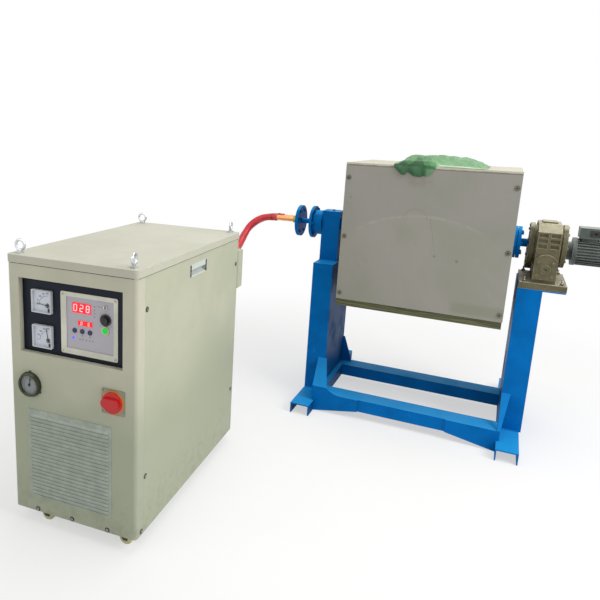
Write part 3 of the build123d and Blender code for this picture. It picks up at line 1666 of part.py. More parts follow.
needle_lift = meter_floor + needle_gap
needle_angles = {"upper": upper_needle_angle, "lower": lower_needle_angle}
meter_needles = {}
for name, (pivot_a, pivot_z) in meter_pivots.items():
    meter_needles[name] = needle(
        cabinet_face(pivot_a, recess_depth - needle_lift, pivot_z),
        meter_needle_length,
        0,
        meter_needle_width,
        meter_needle_thickness,
        meter_hub_radius,
        meter_hub_height,
        needle_angles[name],
    )
    meter_needles[name].label = f"{name}_meter_needle"

# Control module: framing plate, film panel set back in it, windows, bezels and sockets
module_face = panel_face.offset(module_plate_thickness)
module_top_face = panel_face.offset(-module_film_drop)
key_places = [(key_left_a + step * key_pitch, key_z) for step in range(3)]
with BuildPart(panel_face) as control_module:
    with BuildSketch(panel_face):
        with Locations(((module_left + module_right) / 2, (module_bottom + module_top) / 2)):
            RectangleRounded(
                module_right - module_left, module_top - module_bottom, module_corner_radius
            )
    extrude(amount=module_plate_thickness)
    # Housing behind the panel's cut-out, and the plate's window in front of the film panel
    with BuildSketch(panel_face):
        with Locations(module_box_middle):
            Rectangle(module_body_width, module_body_height)
    extrude(amount=-module_body_depth)
    with BuildSketch(module_top_face):
        with Locations(module_box_middle):
            Rectangle(module_box_right - module_box_left, module_box_top - module_box_bottom)
    extrude(amount=module_film_drop + module_plate_thickness, mode=Mode.SUBTRACT)
    # Raised windows of the two displays
    for left, right, bottom, top in (
        (display_left, display_right, display_bottom, display_top),
        (small_display_left, small_display_right, small_display_bottom, small_display_top),
    ):
        with BuildSketch(module_top_face):
            with Locations(((left + right) / 2, (bottom + top) / 2)):
                Rectangle(right - left, top - bottom)
        extrude(amount=display_proud)
    # Bezels and collars
    for a, z, radius, height in (
        (start_a, start_z, start_bezel_radius, start_bezel_height),
        (toggle_a, toggle_z, toggle_collar_radius, toggle_collar_height),
        (lamp_a, lamp_z, lamp_radius, lamp_height),
    ):
        with BuildSketch(module_top_face):
            with Locations((a, z)):
                Circle(radius)
        extrude(amount=height)
    # Sockets of the keys, the start button and the knob's shaft
    for places, radius, depth in (
        (key_places, key_radius + slide_gap, key_socket_depth),
        ([(start_a, start_z)], start_radius + slide_gap, start_socket_depth),
        ([(knob_a, knob_z)], knob_shaft_radius + running_gap, knob_shaft_length),
    ):
        with BuildSketch(module_top_face.offset(start_bezel_height)):
            with Locations(*places):
                Circle(radius)
        extrude(amount=-depth - start_bezel_height, mode=Mode.SUBTRACT)
    # Slot and cross bore of the toggle
    with BuildSketch(module_top_face.offset(toggle_collar_height)):
        with Locations((toggle_a, toggle_z)):
            Rectangle(toggle_slot_width, toggle_slot_length)
    extrude(amount=-toggle_collar_height - toggle_slot_depth, mode=Mode.SUBTRACT)
    with BuildSketch(
        Plane(
            origin=module_top_face.from_local_coords(
                (toggle_a - toggle_pin_length / 2, toggle_z, -toggle_pivot_depth)
            ),
            x_dir=module_top_face.y_dir,
            z_dir=module_top_face.x_dir,
        )
    ):
        Circle(toggle_pin_radius + running_gap)
    extrude(amount=toggle_pin_length, mode=Mode.SUBTRACT)
    # Corner screws
    with BuildSketch(module_face):
        with Locations(((module_left + module_right) / 2, (module_bottom + module_top) / 2)):
            with GridLocations(
                module_right - module_left - 2 * module_screw_inset,
                module_top - module_bottom - 2 * module_screw_inset,
                2,
                2,
            ):
                Circle(module_screw_radius)
    extrude(amount=module_screw_height)
control_module.part.label = "control_module"


def push_button(plane, radius, socket_depth, travel, proud):
    """Round button with a rounded cap: it starts its travel's length above its socket's floor."""
    sink = socket_depth - travel - seat_gap
    with BuildPart(plane) as button:
        with BuildSketch(plane.offset(-sink)):
            Circle(radius)
        extrude(amount=sink + proud)
        cap = button.faces().sort_by(Axis(plane.origin, plane.z_dir))[-1]
        fillet(cap.edges(), button_edge_radius)
    return button.part


module_depth = recess_depth + module_film_drop
module_keys = {}
for name, (a, z) in zip(("left", "middle", "right"), key_places):
    module_keys[name] = push_button(
        cabinet_face(a, module_depth, z), key_radius, key_socket_depth, key_travel, key_height
    )
    module_keys[name].label = f"key_{name}"
start_button = push_button(
    cabinet_face(start_a, module_depth, start_z),
    start_radius,
    start_socket_depth,
    start_travel,
    start_height,
)
start_button.label = "start_button"

# Power knob with a skirt, a pointer ridge and its shaft
knob_face = cabinet_face(knob_a, module_depth - seat_gap, knob_z)
with BuildPart(knob_face) as power_knob:
    with BuildSketch(knob_face):
        Circle(knob_skirt_radius)
    extrude(amount=knob_skirt_height)
    with BuildSketch(knob_face.offset(knob_skirt_height)):
        Circle(knob_radius)
        with PolarLocations(knob_radius, knob_flutes):
            Circle(knob_flute_radius, mode=Mode.SUBTRACT)
    extrude(amount=knob_height - knob_skirt_height)
    with BuildSketch(knob_face.offset(knob_height)):
        with Locations((0, knob_radius / 2)):
            Rectangle(knob_ridge_width, knob_radius)
    extrude(amount=knob_ridge_height)
    with BuildSketch(knob_face):
        Circle(knob_shaft_radius)
    extrude(amount=-knob_shaft_length + 2 * seat_gap)
power_knob.part.label = "power_knob"

# Toggle lever, leaning up, on its cross pin
toggle_face = cabinet_face(toggle_a, module_depth + toggle_pivot_depth, toggle_z)
lean_rise = sin(radians(toggle_lean))
lean_reach = cos(radians(toggle_lean))
lever_face = Plane(
    origin=toggle_face.origin,
    x_dir=toggle_face.x_dir,
    z_dir=toggle_face.z_dir * lean_reach + toggle_face.y_dir * lean_rise,
)
with BuildPart(toggle_face) as toggle_lever:
    with BuildSketch(lever_face):
        Circle(toggle_lever_radius)
    extrude(amount=toggle_lever_length)
    with Locations((0, toggle_lever_length * lean_rise, toggle_lever_length * lean_reach)):
        Sphere(toggle_tip_radius)
    pin_plane = Plane(
        origin=toggle_face.from_local_coords((-toggle_pin_length / 2 + seat_gap, 0, 0)),
        x_dir=toggle_face.y_dir,
        z_dir=toggle_face.x_dir,
    )
    with BuildSketch(pin_plane):
        Circle(toggle_pin_radius)
    extrude(amount=toggle_pin_length - 2 * seat_gap)
toggle_lever.part.label = "toggle_lever"

# Pressure gauge: flange with three ears, case, pivot and barrel
gauge_face = cabinet_face(gauge_a, 0, gauge_z)
gauge_floor = gauge_case_height - gauge_pocket_depth
with BuildPart(gauge_face) as pressure_gauge:
    with BuildSketch(gauge_face):
        Circle(gauge_flange_radius)
        with PolarLocations(gauge_flange_radius, 3, start_angle=90):
            Circle(gauge_ear_radius)
    extrude(amount=gauge_flange_thickness)
    with BuildSketch(gauge_face):
        Circle(gauge_case_radius)
    extrude(amount=gauge_case_height)
    with BuildSketch(gauge_face.offset(gauge_floor)):
        Circle(gauge_pocket_radius)
    extrude(amount=gauge_pocket_depth, mode=Mode.SUBTRACT)
    with BuildSketch(gauge_face.offset(gauge_floor)):
        Circle(meter_pivot_radius)
    extrude(amount=meter_pivot_length)
    for length, radius in (
        (gauge_barrel_length, gauge_barrel_radius),
        (gauge_barrel_length + gauge_stem_length, gauge_stem_radius),
    ):
        with BuildSketch(gauge_face):
            Circle(radius)
        extrude(amount=-length)
pressure_gauge.part.label = "pressure_gauge"

gauge_needle = needle(
    cabinet_face(gauge_a, -gauge_floor - needle_gap, gauge_z),
    gauge_needle_length,
    gauge_needle_tail,
    gauge_needle_width,
    meter_needle_thickness,
    gauge_hub_radius,
    meter_hub_height,
    gauge_needle_angle,
)
gauge_needle.label = "gauge_needle"

# Main isolator: plate and ring in front, switch body behind
isolator_face = cabinet_face(isolator_a, 0, isolator_z)
with BuildPart(isolator_face) as isolator_plate:
    with BuildSketch(isolator_face):
        RectangleRounded(isolator_plate_size, isolator_plate_size, isolator_corner_radius)
    extrude(amount=isolator_plate_thickness)
    with BuildSketch(isolator_face.offset(isolator_plate_thickness)):
        Circle(isolator_ring_radius)
    extrude(amount=isolator_ring_thickness)
    with BuildSketch(isolator_face):
        Circle(isolator_neck_radius)
    extrude(amount=-sheet)
    with BuildSketch(isolator_face.offset(-sheet)):
        Rectangle(isolator_body_size, isolator_body_size)
    extrude(amount=-isolator_body_depth)
    with BuildSketch(isolator_face.offset(isolator_plate_thickness + isolator_ring_thickness)):
        Circle(isolator_shaft_radius + running_gap)
    extrude(amount=-isolator_shaft_length, mode=Mode.SUBTRACT)
isolator_plate.part.label = "isolator_plate"

handle_face = isolator_face.offset(isolator_plate_thickness + isolator_ring_thickness + seat_gap)
with BuildPart(handle_face) as isolator_handle:
    with BuildSketch(handle_face):
        Circle(isolator_hub_radius)
    extrude(amount=isolator_hub_height)
    with BuildSketch(handle_face):
        with Locations((isolator_bar_tail - isolator_bar_length / 2, 0)):
            SlotOverall(isolator_bar_length, isolator_bar_width)
    extrude(amount=isolator_bar_height)
    with BuildSketch(handle_face):
        Circle(isolator_shaft_radius)
    extrude(amount=-isolator_shaft_length + seat_gap)
isolator_handle.part.label = "isolator_handle"

# Intake grille: a plate with hooded louvres
slot_left = (grille_left + grille_right - slot_width) / 2
with BuildPart(cabinet) as intake_grille:
    fill(
        (grille_left, -grille_thickness, grille_bottom),
        (grille_right, 0, grille_top),
    )
    for slot in range(slot_count):
        slot_z = top_slot_z - slot * slot_pitch
        hood_low = slot_z - slot_height / 2
        hood_high = slot_z + slot_height / 2
        with BuildSketch(cabinet_side(slot_left, 0, 0)):
            with BuildLine():
                Polyline(
                    (-grille_thickness, hood_high + hood_wall),
                    (-grille_thickness - hood_depth, hood_low),
                    (-grille_thickness, hood_low),
                    close=True,
                )
            make_face()
        extrude(amount=slot_width)
        with BuildSketch(cabinet_side(slot_left + hood_wall, 0, 0)):
            with BuildLine():
                Polyline(
                    (0, hood_high),
                    (-grille_thickness, hood_high),
                    (-grille_thickness - hood_depth + hood_wall, hood_low),
                    (0, hood_low),
                    close=True,
                )
            make_face()
        extrude(amount=slot_width - 2 * hood_wall, mode=Mode.SUBTRACT)
intake_grille.part.label = "intake_grille"

# Fan frame and motor behind the intake, heatsink on its mounting wall
fan_a = (grille_left + grille_right) / 2
fan_z = (grille_bottom + grille_top) / 2
frame_face = cabinet_face(fan_a, 0, fan_z)
spoke_face = frame_face.offset(-fan_frame_depth + fan_spoke_depth)
with BuildPart(frame_face) as inverter_cooling:
    with BuildSketch(frame_face):
        Rectangle(fan_frame_size, fan_frame_size)
        Circle(fan_radius + fan_tip_gap, mode=Mode.SUBTRACT)
    extrude(amount=-fan_frame_depth)
    with BuildSketch(spoke_face):
        Rectangle(fan_frame_size - fan_spoke_width, fan_spoke_width)
        Rectangle(fan_spoke_width, fan_frame_size - fan_spoke_width)
    extrude(amount=-fan_spoke_depth)
    with BuildSketch(spoke_face):
        Circle(fan_motor_radius)
    extrude(amount=-fan_motor_depth)
    with BuildSketch(spoke_face):
        Circle(fan_shaft_radius + running_gap)
    extrude(amount=-fan_shaft_length, mode=Mode.SUBTRACT)
    wall_face = cabinet_face(cabinet_width / 2, mount_wall_b, 0)
    with BuildSketch(wall_face):
        with Locations((0, floor_top + mount_wall_height / 2)):
            Rectangle(inner_width - 2 * base_wall, mount_wall_height)
    extrude(amount=-mount_wall_thickness)
    with BuildSketch(wall_face):
        with Locations((0, heatsink_z + heatsink_height / 2)):
            Rectangle(heatsink_width, heatsink_height)
    extrude(amount=heatsink_base)
    fin_pitch = (heatsink_width - heatsink_fin_thickness) / (heatsink_fin_count - 1)
    with BuildSketch(wall_face.offset(heatsink_base)):
        with Locations((0, heatsink_z + heatsink_height / 2)):
            with GridLocations(fin_pitch, 0, heatsink_fin_count, 1):
                Rectangle(heatsink_fin_thickness, heatsink_height)
    extrude(amount=heatsink_fin_depth)
inverter_cooling.part.label = "inverter_cooling"

fan_face = cabinet_face(fan_a, fan_centre_b, fan_z)
with BuildPart(fan_face) as fan_rotor:
    with BuildSketch(fan_face.offset(-fan_hub_depth / 2)):
        Circle(fan_hub_radius)
    extrude(amount=fan_hub_depth)
    blade_length = fan_radius - fan_hub_radius + fan_blade_inset
    with PolarLocations(fan_radius - blade_length / 2, fan_blades):
        Box(blade_length, fan_blade_width, fan_blade_thickness, rotation=(fan_blade_twist, 0, 0))
    shaft_reach = fan_frame_depth - fan_spoke_depth + fan_shaft_length - fan_centre_b
    with BuildSketch(fan_face):
        Circle(fan_shaft_radius)
    extrude(amount=-shaft_reach + seat_gap)
fan_rotor.part.label = "fan_rotor"

# Transformer and capacitor bank on the cabinet's floor
with BuildPart(cabinet) as transformer:
    core_left = transformer_a - core_width / 2
    core_front = transformer_b - core_depth / 2
    fill(
        (core_left, core_front, floor_top),
        (core_left + core_width, core_front + core_depth, floor_top + core_height),
    )
    window_width = (core_width - 3 * core_limb) / 2
    for window in range(2):
        window_left = core_left + core_limb + window * (core_limb + window_width)
        fill(
            (window_left, core_front, floor_top + core_limb),
            (
                window_left + window_width,
                core_front + core_depth,
                floor_top + core_height - core_limb,
            ),
            mode=Mode.SUBTRACT,
        )
    with BuildSketch(cabinet.offset(floor_top + core_limb)):
        with Locations((transformer_a, transformer_b)):
            with GridLocations(core_limb + window_width, 0, 3, 1):
                RectangleRounded(
                    core_limb + 2 * winding_thickness,
                    core_depth + 2 * winding_thickness,
                    winding_thickness / 2,
                )
    extrude(amount=core_height - 2 * core_limb)
transformer.part.label = "transformer"

with BuildPart(cabinet) as capacitor_bank:
    for radius, bottom, height in (
        (capacitor_radius, floor_top, capacitor_height),
        (capacitor_stud_radius, floor_top + capacitor_height, capacitor_stud_height),
    ):
        with BuildSketch(cabinet.offset(bottom)):
            with Locations((capacitor_a, capacitor_b)):
                with GridLocations(
                    capacitor_pitch, capacitor_pitch, capacitor_columns, capacitor_rows
                ):
                    Circle(radius)
        extrude(amount=height)
capacitor_bank.part.label = "capacitor_bank"

# Castors: a swivelling fork with its pin and axle, and a wheel on the axle
fork_top = floor_height - castor_plate_thickness - seat_gap
cheek_offset = castor_wheel_width / 2 + seat_gap


def castor_plane(a, b):
    """Upright frame on the floor under a castor's swivel pin."""
    return Plane(origin=cabinet_point(a, b, 0), x_dir=cabinet.x_dir, z_dir=(0, 0, 1))


def castor_fork(a, b):
    """Fork trailing to the right of its pin, with the wheel's axle fixed in it."""
    plane = castor_plane(a, b)
    cheek_plane = Plane(origin=plane.origin, x_dir=plane.x_dir, z_dir=-plane.y_dir)
    with BuildPart(plane) as fork:
        for start in (-cheek_offset - fork_cheek, cheek_offset):
            with BuildSketch(cheek_plane.offset(start)):
                with BuildLine():
                    Polyline(
                        (-fork_nose, fork_top - fork_crown),
                        (-fork_nose, fork_top),
                        (castor_trail + fork_axle_margin, fork_top),
                        (castor_trail + fork_axle_margin, wheel_radius - fork_axle_margin),
                        (castor_trail - fork_axle_margin, wheel_radius - fork_axle_margin),
                        close=True,
                    )
                make_face()
            extrude(amount=fork_cheek)
        fill(
            (-fork_nose, -cheek_offset - fork_cheek, fork_top - fork_crown),
            (castor_trail + fork_axle_margin, cheek_offset + fork_cheek, fork_top),
        )
        with BuildSketch(plane.offset(fork_top)):
            Circle(castor_pin_radius)
        extrude(amount=castor_pin_length)
        with BuildSketch(cheek_plane.offset(-cheek_offset - fork_cheek)):
            with Locations((castor_trail, wheel_radius)):
                Circle(axle_radius)
        extrude(amount=2 * (cheek_offset + fork_cheek))
    return fork.part


def castor_wheel(a, b):
    """Rounded wheel, bored to run on the fork's axle."""
    plane = castor_plane(a, b)
    hub = plane.from_local_coords((castor_trail, castor_wheel_width / 2, wheel_radius))
    hub_plane = Plane(origin=hub, x_dir=plane.x_dir, z_dir=-plane.y_dir)
    with BuildPart(hub_plane) as wheel:
        with BuildSketch(hub_plane):
            Circle(wheel_radius)
        extrude(amount=castor_wheel_width)
        fillet(wheel.edges().filter_by(GeomType.CIRCLE), wheel_edge_radius)
        with BuildSketch(hub_plane):
            Circle(axle_radius + running_gap)
        extrude(amount=castor_wheel_width, mode=Mode.SUBTRACT)
    return wheel.part


castors = {}
for corner, (a, b) in castor_places.items():
    castors[f"castor_fork_{corner}"] = castor_fork(a, b)
    castors[f"castor_wheel_{corner}"] = castor_wheel(a, b)
for name, piece in castors.items():
    piece.label = name


# Water-cooled cables from the flange to the cabinet
def cable(name, points):
    """Tube of straight runs joined by the largest arcs that the runs allow."""
    radii = []
    for before, here, after in zip(points, points[1:], points[2:]):
        run_in = Vector(*here) - Vector(*before)
        run_out = Vector(*after) - Vector(*here)
        turn = radians(run_in.get_angle(run_out))
        radii.append(cable_arc_share * min(run_in.length, run_out.length) / tan(turn / 2))
    print(name, "radii", [round(radius) for radius in radii])
    with BuildPart() as tube:
        with BuildLine() as path:
            FilletPolyline(*points, radius=radii)
        with BuildSketch(Plane(origin=path.line @ 0, z_dir=path.line % 0)):
            Circle(cable_radius)
        sweep()
    length = sum(edge.length for edge in path.edges())
    share = tube.part.volume / (pi * cable_radius**2 * length)
    print(name, "length", round(length), "share of section times length", round(share, 4))
    tube.part.label = name
    return tube.part


near_cable_points = [
    (-667, 579, 976),
    (-728.5, 579, 976),
    (-784, 564.6, 953.6),
    (-821, 538, 915),
    (-833.9, 503.5, 866.1),
    (-832, 441, 821),
    (-819, 352, 796),
    (-784, 188, 800),
    (-742.9, 1.9, 832),
    (-735.3, -117.9, 832),
]
far_cable_points = [
    (-641, 623, 976),
    (-715, 624, 976),
    (-786, 611, 953),
    (-839, 581, 905),
    (-861, 537, 845),
    (-862, 462, 792),
    (-852, 350, 764),
    (-843, 190, 788),
    (-822.8, -2.9, 832),
    (-815.2, -122.9, 832),
]
water_cable_near = cable("water_cable_near", near_cable_points)
water_cable_far = cable("water_cable_far", far_cable_points)

# Cover cloth: folds heaped over the mouth, the left ones hanging over the front edge
cloth_base = body_top + seat_gap
cloth_left = body_left + cloth_left_inset
cloth_edge = body_front - seat_gap
cloth_crests = list(zip(cloth_fold_places, cloth_fold_heights))


def cloth_section(y, crests, share):
    """Closed outline across the heap at one depth: flat underneath, an arc over each fold."""
    tops = [(cloth_left + x, cloth_base + share * height) for x, height in crests]
    with BuildSketch(Plane.XZ.offset(-y)) as section:
        with BuildLine():
            for start, end in zip(tops, tops[1:]):
                middle = ((start[0] + end[0]) / 2, (start[1] + end[1]) / 2 + cloth_fold_bulge)
                ThreePointArc(start, middle, end)
            Polyline(tops[-1], (tops[-1][0], cloth_base), (tops[0][0], cloth_base), tops[0])
        make_face()
    return section.sketch


def cloth_lobe(left, right, drop):
    """One hanging fold: rounded in front, flat against the furnace, narrower at its hem."""
    with BuildPart() as lobe:
        for z, inset, bulge in (
            (cloth_base + cloth_fold_bulge, 0, cloth_fold_depth),
            (body_top - drop, cloth_hem_inset, cloth_fold_depth / 2),
        ):
            with BuildSketch(Plane.XY.offset(z)):
                with BuildLine():
                    start = (cloth_left + left + inset, cloth_edge - cloth_thickness)
                    end = (cloth_left + right - inset, cloth_edge - cloth_thickness)
                    ThreePointArc(start, ((start[0] + end[0]) / 2, cloth_edge - bulge), end)
                    Polyline(end, (end[0], cloth_edge), (start[0], cloth_edge), start)
                make_face()
        loft(ruled=True)
    return lobe.part


mound_sections = [
    cloth_section(body_front + depth, cloth_crests, share)
    for depth, share in zip(cloth_depths, cloth_depth_shares)
]
overhang_sections = [
    cloth_section(cloth_edge - cloth_fold_depth, cloth_crests[:cloth_hanging_folds], cloth_lip_share),
    cloth_section(
        body_front + cloth_depths[1], cloth_crests[:cloth_hanging_folds], cloth_depth_shares[1]
    ),
]
cloth_lobes = [
    cloth_lobe(left, right, drop)
    for left, right, drop in zip(cloth_fold_places, cloth_fold_places[1:], cloth_lobe_drops)
]
with BuildPart() as cover_cloth:
    loft(mound_sections, ruled=True)
    loft(overhang_sections, ruled=True)
    for lobe in cloth_lobes:
        add(lobe)
cover_cloth.part.label = "cover_cloth"

# One file for each piece
pieces = [
    cabinet_base.part,
    cabinet_front.part,
    cabinet_sides.part,
    cabinet_back.part,
    cabinet_lid.part,
    instrument_panel.part,
    panel_meters.part,
    control_module.part,
    pressure_gauge.part,
    isolator_plate.part,
    intake_grille.part,
    lifting_eyes.part,
    side_pulls.part,
    terminal_box.part,
    brass_fittings.part,
    cabinet_screws.part,
    transformer.part,
    capacitor_bank.part,
    inverter_cooling.part,
    floor_feet.part,
    cross_rails.part,
    side_columns.part,
    bearing_housing.part,
    cable_flange.part,
    water_cable_near,
    water_cable_far,
    gearbox_housing.part,
    motor_housing.part,
    fan_rotor.part,
    *meter_needles.values(),
    gauge_needle,
    power_knob.part,
    toggle_lever.part,
    start_button,
    *module_keys.values(),
    isolator_handle.part,
    *castors.values(),
    worm_shaft.part,
    motor_rotor.part,
    furnace_panels.part,
    top_slab.part,
    bottom_slab.part,
    crucible.part,
    furnace_lining.part,
    induction_coil.part,
    left_trunnion.part,
    right_trunnion.part,
    worm_wheel.part,
    furnace_screws.part,
    cover_cloth.part,
]
for piece in pieces:
    export_step(piece, f"parts/{piece.label}.step")
print(len(pieces), "pieces")
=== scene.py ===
from math import atan2, cos, hypot, pi, radians, sin

import bmesh
import bpy
from mathutils import Matrix, Vector, noise


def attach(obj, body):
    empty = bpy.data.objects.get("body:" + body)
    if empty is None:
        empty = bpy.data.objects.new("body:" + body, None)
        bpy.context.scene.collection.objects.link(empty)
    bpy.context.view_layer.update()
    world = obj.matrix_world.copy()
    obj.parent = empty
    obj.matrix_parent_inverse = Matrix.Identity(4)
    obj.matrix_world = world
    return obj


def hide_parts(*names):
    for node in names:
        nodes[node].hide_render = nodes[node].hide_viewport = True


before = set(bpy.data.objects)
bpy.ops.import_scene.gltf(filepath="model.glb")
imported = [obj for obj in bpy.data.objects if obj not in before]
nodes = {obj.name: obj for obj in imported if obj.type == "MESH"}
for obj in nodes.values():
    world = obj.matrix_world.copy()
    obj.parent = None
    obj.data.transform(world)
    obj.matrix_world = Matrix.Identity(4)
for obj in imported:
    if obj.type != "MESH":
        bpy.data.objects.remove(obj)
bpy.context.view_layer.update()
mm = 0.001


# Colours are written as screen colours, 0 to 255
def rgb(red, green, blue):
    """Screen colour as the linear colour that a shader takes."""
    parts = []
    for part in (red, green, blue):
        share = part / 255
        if share <= 0.04045:
            parts.append(share / 12.92)
        else:
            parts.append(((share + 0.055) / 1.055) ** 2.4)
    return (*parts, 1.0)


# Cabinet frame: a to its right, b to its back, z up
cabinet_yaw = radians(3.57)
cabinet_corner = Vector((-1.002, -1.1435, 0))
cabinet_right = Vector((cos(cabinet_yaw), sin(cabinet_yaw), 0))
cabinet_back = Vector((-sin(cabinet_yaw), cos(cabinet_yaw), 0))
up = Vector((0, 0, 1))


def axes_matrix(place, x_axis, y_axis, z_axis):
    """Matrix that takes a local point to the given axes at the given place."""
    turn = Matrix((x_axis, y_axis, z_axis)).transposed().to_4x4()
    return Matrix.Translation(place) @ turn


def cabinet_point(a, b, z):
    """Place given in the cabinet's frame, in millimetres."""
    return cabinet_corner + cabinet_right * a * mm + cabinet_back * b * mm + up * z * mm


def front_face(a, b, z):
    """Frame on the cabinet's front: x to its right, y up, z out towards the operator."""
    return axes_matrix(cabinet_point(a, b, z), cabinet_right, up, -cabinet_back)


def side_face(a, b, z, side):
    """Frame on the cabinet's right side, or on its left one where side is -1, z out from it."""
    return axes_matrix(cabinet_point(a, b, z), cabinet_back * side, up, cabinet_right * side)


# Shader helpers
def feed(socket, value):
    """Links a socket to another, or sets its number or colour."""
    if isinstance(value, bpy.types.NodeSocket):
        socket.id_data.links.new(value, socket)
    else:
        socket.default_value = value


def node(tree, kind, inputs=None, **settings):
    """New shader node with its settings and what its inputs are fed."""
    made = tree.nodes.new("ShaderNode" + kind)
    for key, value in settings.items():
        setattr(made, key, value)
    for key, value in (inputs or {}).items():
        feed(made.inputs[key], value)
    return made


def place_on(tree, stretch=(1, 1, 1)):
    """The point on the object, in metres, stretched along each axis."""
    where = node(tree, "TexCoord").outputs["Object"]
    return node(tree, "Mapping", {"Vector": where, "Scale": stretch}).outputs["Vector"]


def grain(tree, scale, detail=3.0, roughness=0.5, stretch=(1, 1, 1), distortion=0.0):
    """Cloudy noise from 0 to 1: scale is how many lumps a metre holds."""
    inputs = {"Scale": scale, "Detail": detail, "Roughness": roughness, "Distortion": distortion}
    return node(tree, "TexNoise", {"Vector": place_on(tree, stretch), **inputs}).outputs["Fac"]


def cells(tree, scale):
    """Distance to the nearest of many scattered points."""
    return node(tree, "TexVoronoi", {"Vector": place_on(tree), "Scale": scale}).outputs["Distance"]


def spread(value, low, high, to_low=0.0, to_high=1.0):
    """Value stretched from one range to another and held at its ends."""
    inputs = {"Value": value, "From Min": low, "From Max": high, "To Min": to_low, "To Max": to_high}
    return node(value.id_data, "MapRange", inputs, interpolation_type="SMOOTHSTEP").outputs["Result"]


def sums(operation, first, second=0.0):
    """One step of arithmetic on two values, of which one at least is a socket."""
    owner = first if isinstance(first, bpy.types.NodeSocket) else second
    return node(owner.id_data, "Math", {0: first, 1: second}, operation=operation).outputs[0]


def plus(first, second):
    """Sum of two values."""
    return sums("ADD", first, second)


def times(*values):
    """Product of two or more values."""
    product = values[0]
    for value in values[1:]:
        product = sums("MULTIPLY", product, value)
    return product


def compare(operation, first, second):
    """One measure of two vectors, of which the first is a socket."""
    return node(first.id_data, "VectorMath", {0: first, 1: second}, operation=operation).outputs["Value"]


def along(tree, direction):
    """How far the point on the object lies along a direction."""
    return compare("DOT_PRODUCT", place_on(tree), tuple(direction))


def facing_along(tree, direction):
    """How much the surface faces a direction, from -1 to 1."""
    return compare("DOT_PRODUCT", node(tree, "TexCoord").outputs["Normal"], tuple(direction))


def away_from(tree, centre, stretch=(1, 1, 1)):
    """Distance from a place on the object, each axis weighed on its own."""
    target = tuple(part * weight for part, weight in zip(centre, stretch))
    return compare("DISTANCE", place_on(tree, stretch), target)


def window(value, low, high, soft):
    """Mask that is 1 between two values, with soft ends."""
    return times(spread(value, low - soft, low + soft), spread(value, high - soft, high + soft, 1.0, 0.0))


def mix(share, first, second):
    """Colour between two colours."""
    return node(share.id_data, "Mix", {0: share, 6: first, 7: second}, data_type="RGBA").outputs[2]


def tint(base, mask, weight, tone):
    """Colour with a tone laid over it where the mask says."""
    return mix(times(mask, weight), base, tone)


def shaded_tone(tone, share):
    """Plain colour made darker."""
    return tuple(part * share for part in tone[:3]) + (1.0,)


def relief(height, strength, depth, under=None):
    """Bump of a height map, depth in metres, on top of another bump."""
    inputs = {"Height": height, "Strength": strength, "Distance": depth}
    if under is not None:
        inputs["Normal"] = under
    return node(height.id_data, "Bump", inputs).outputs["Normal"]


def edges(tree, radius, low=0.02, high=0.25):
    """Mask that is 1 along the edges of a solid."""
    rounded = node(tree, "Bevel", {"Radius": radius}, samples=4).outputs["Normal"]
    match = compare("DOT_PRODUCT", rounded, node(tree, "NewGeometry").outputs["Normal"])
    return spread(sums("SUBTRACT", 1.0, match), low, high)


def shader(name, **sockets):
    """New material and its node tree, with plain values set on its shader."""
    made = bpy.data.materials.new(name)
    made.use_nodes = True
    surface = made.node_tree.nodes["Principled BSDF"]
    for key, value in sockets.items():
        surface.inputs[key.replace("_", " ")].default_value = value
    return made, made.node_tree


def dressed(made, base, rough=None, bump=None, glow=None, strength=None):
    """Feeds a material's shader what varies over the surface."""
    inputs = made.node_tree.nodes["Principled BSDF"].inputs
    names = ("Base Color", "Roughness", "Normal", "Emission Color", "Emission Strength")
    for name, value in zip(names, (base, rough, bump, glow, strength)):
        if value is not None:
            feed(inputs[name], value)
    return made


def add_object(name, data):
    """New object in the scene."""
    made = bpy.data.objects.new(name, data)
    bpy.context.scene.collection.objects.link(made)
    return made


# Materials
def powder_coat(name, tone, roughness=0.5, grime=0.1, lower_shade_tone=None):
    """Powder-coated sheet: fine orange peel, faint clouds, grime that gathers near the floor and, where a
    lower tone is given, painted shade that darkens it towards the bottom.
    """
    made, tree = shader(name, Specular_IOR_Level=0.22)
    clouds = spread(grain(tree, 3, 5, 0.6), 0.35, 0.7)
    dark = shaded_tone(tone, 0.86)
    # Painted shade: the paint turns darker and greener towards the bottom, along a ragged line.
    if lower_shade_tone:
        uneven = plus(along(tree, up), spread(grain(tree, 2.2, 3), 0.2, 0.8, -0.07, 0.07))
        tone = mix(spread(uneven, 0.4, 0.72, 1, 0), tone, lower_shade_tone)
    base = mix(times(clouds, 0.35), tone, lower_shade_tone or dark)
    low = spread(along(tree, up), 0.05, 0.3, 1, 0)
    dirt = times(low, spread(grain(tree, 30, 6, 0.7), 0.4, 0.75))
    base = tint(base, dirt, grime * 3, rgb(96, 92, 78))
    rubbed = times(edges(tree, 0.002), grain(tree, 60, 4))
    base = tint(base, rubbed, 0.35, rgb(226, 224, 212))
    return dressed(
        made,
        base,
        spread(clouds, 0, 1, roughness - 0.06, roughness + 0.08),
        relief(grain(tree, 420, 2), 0.25, 0.0004),
    )


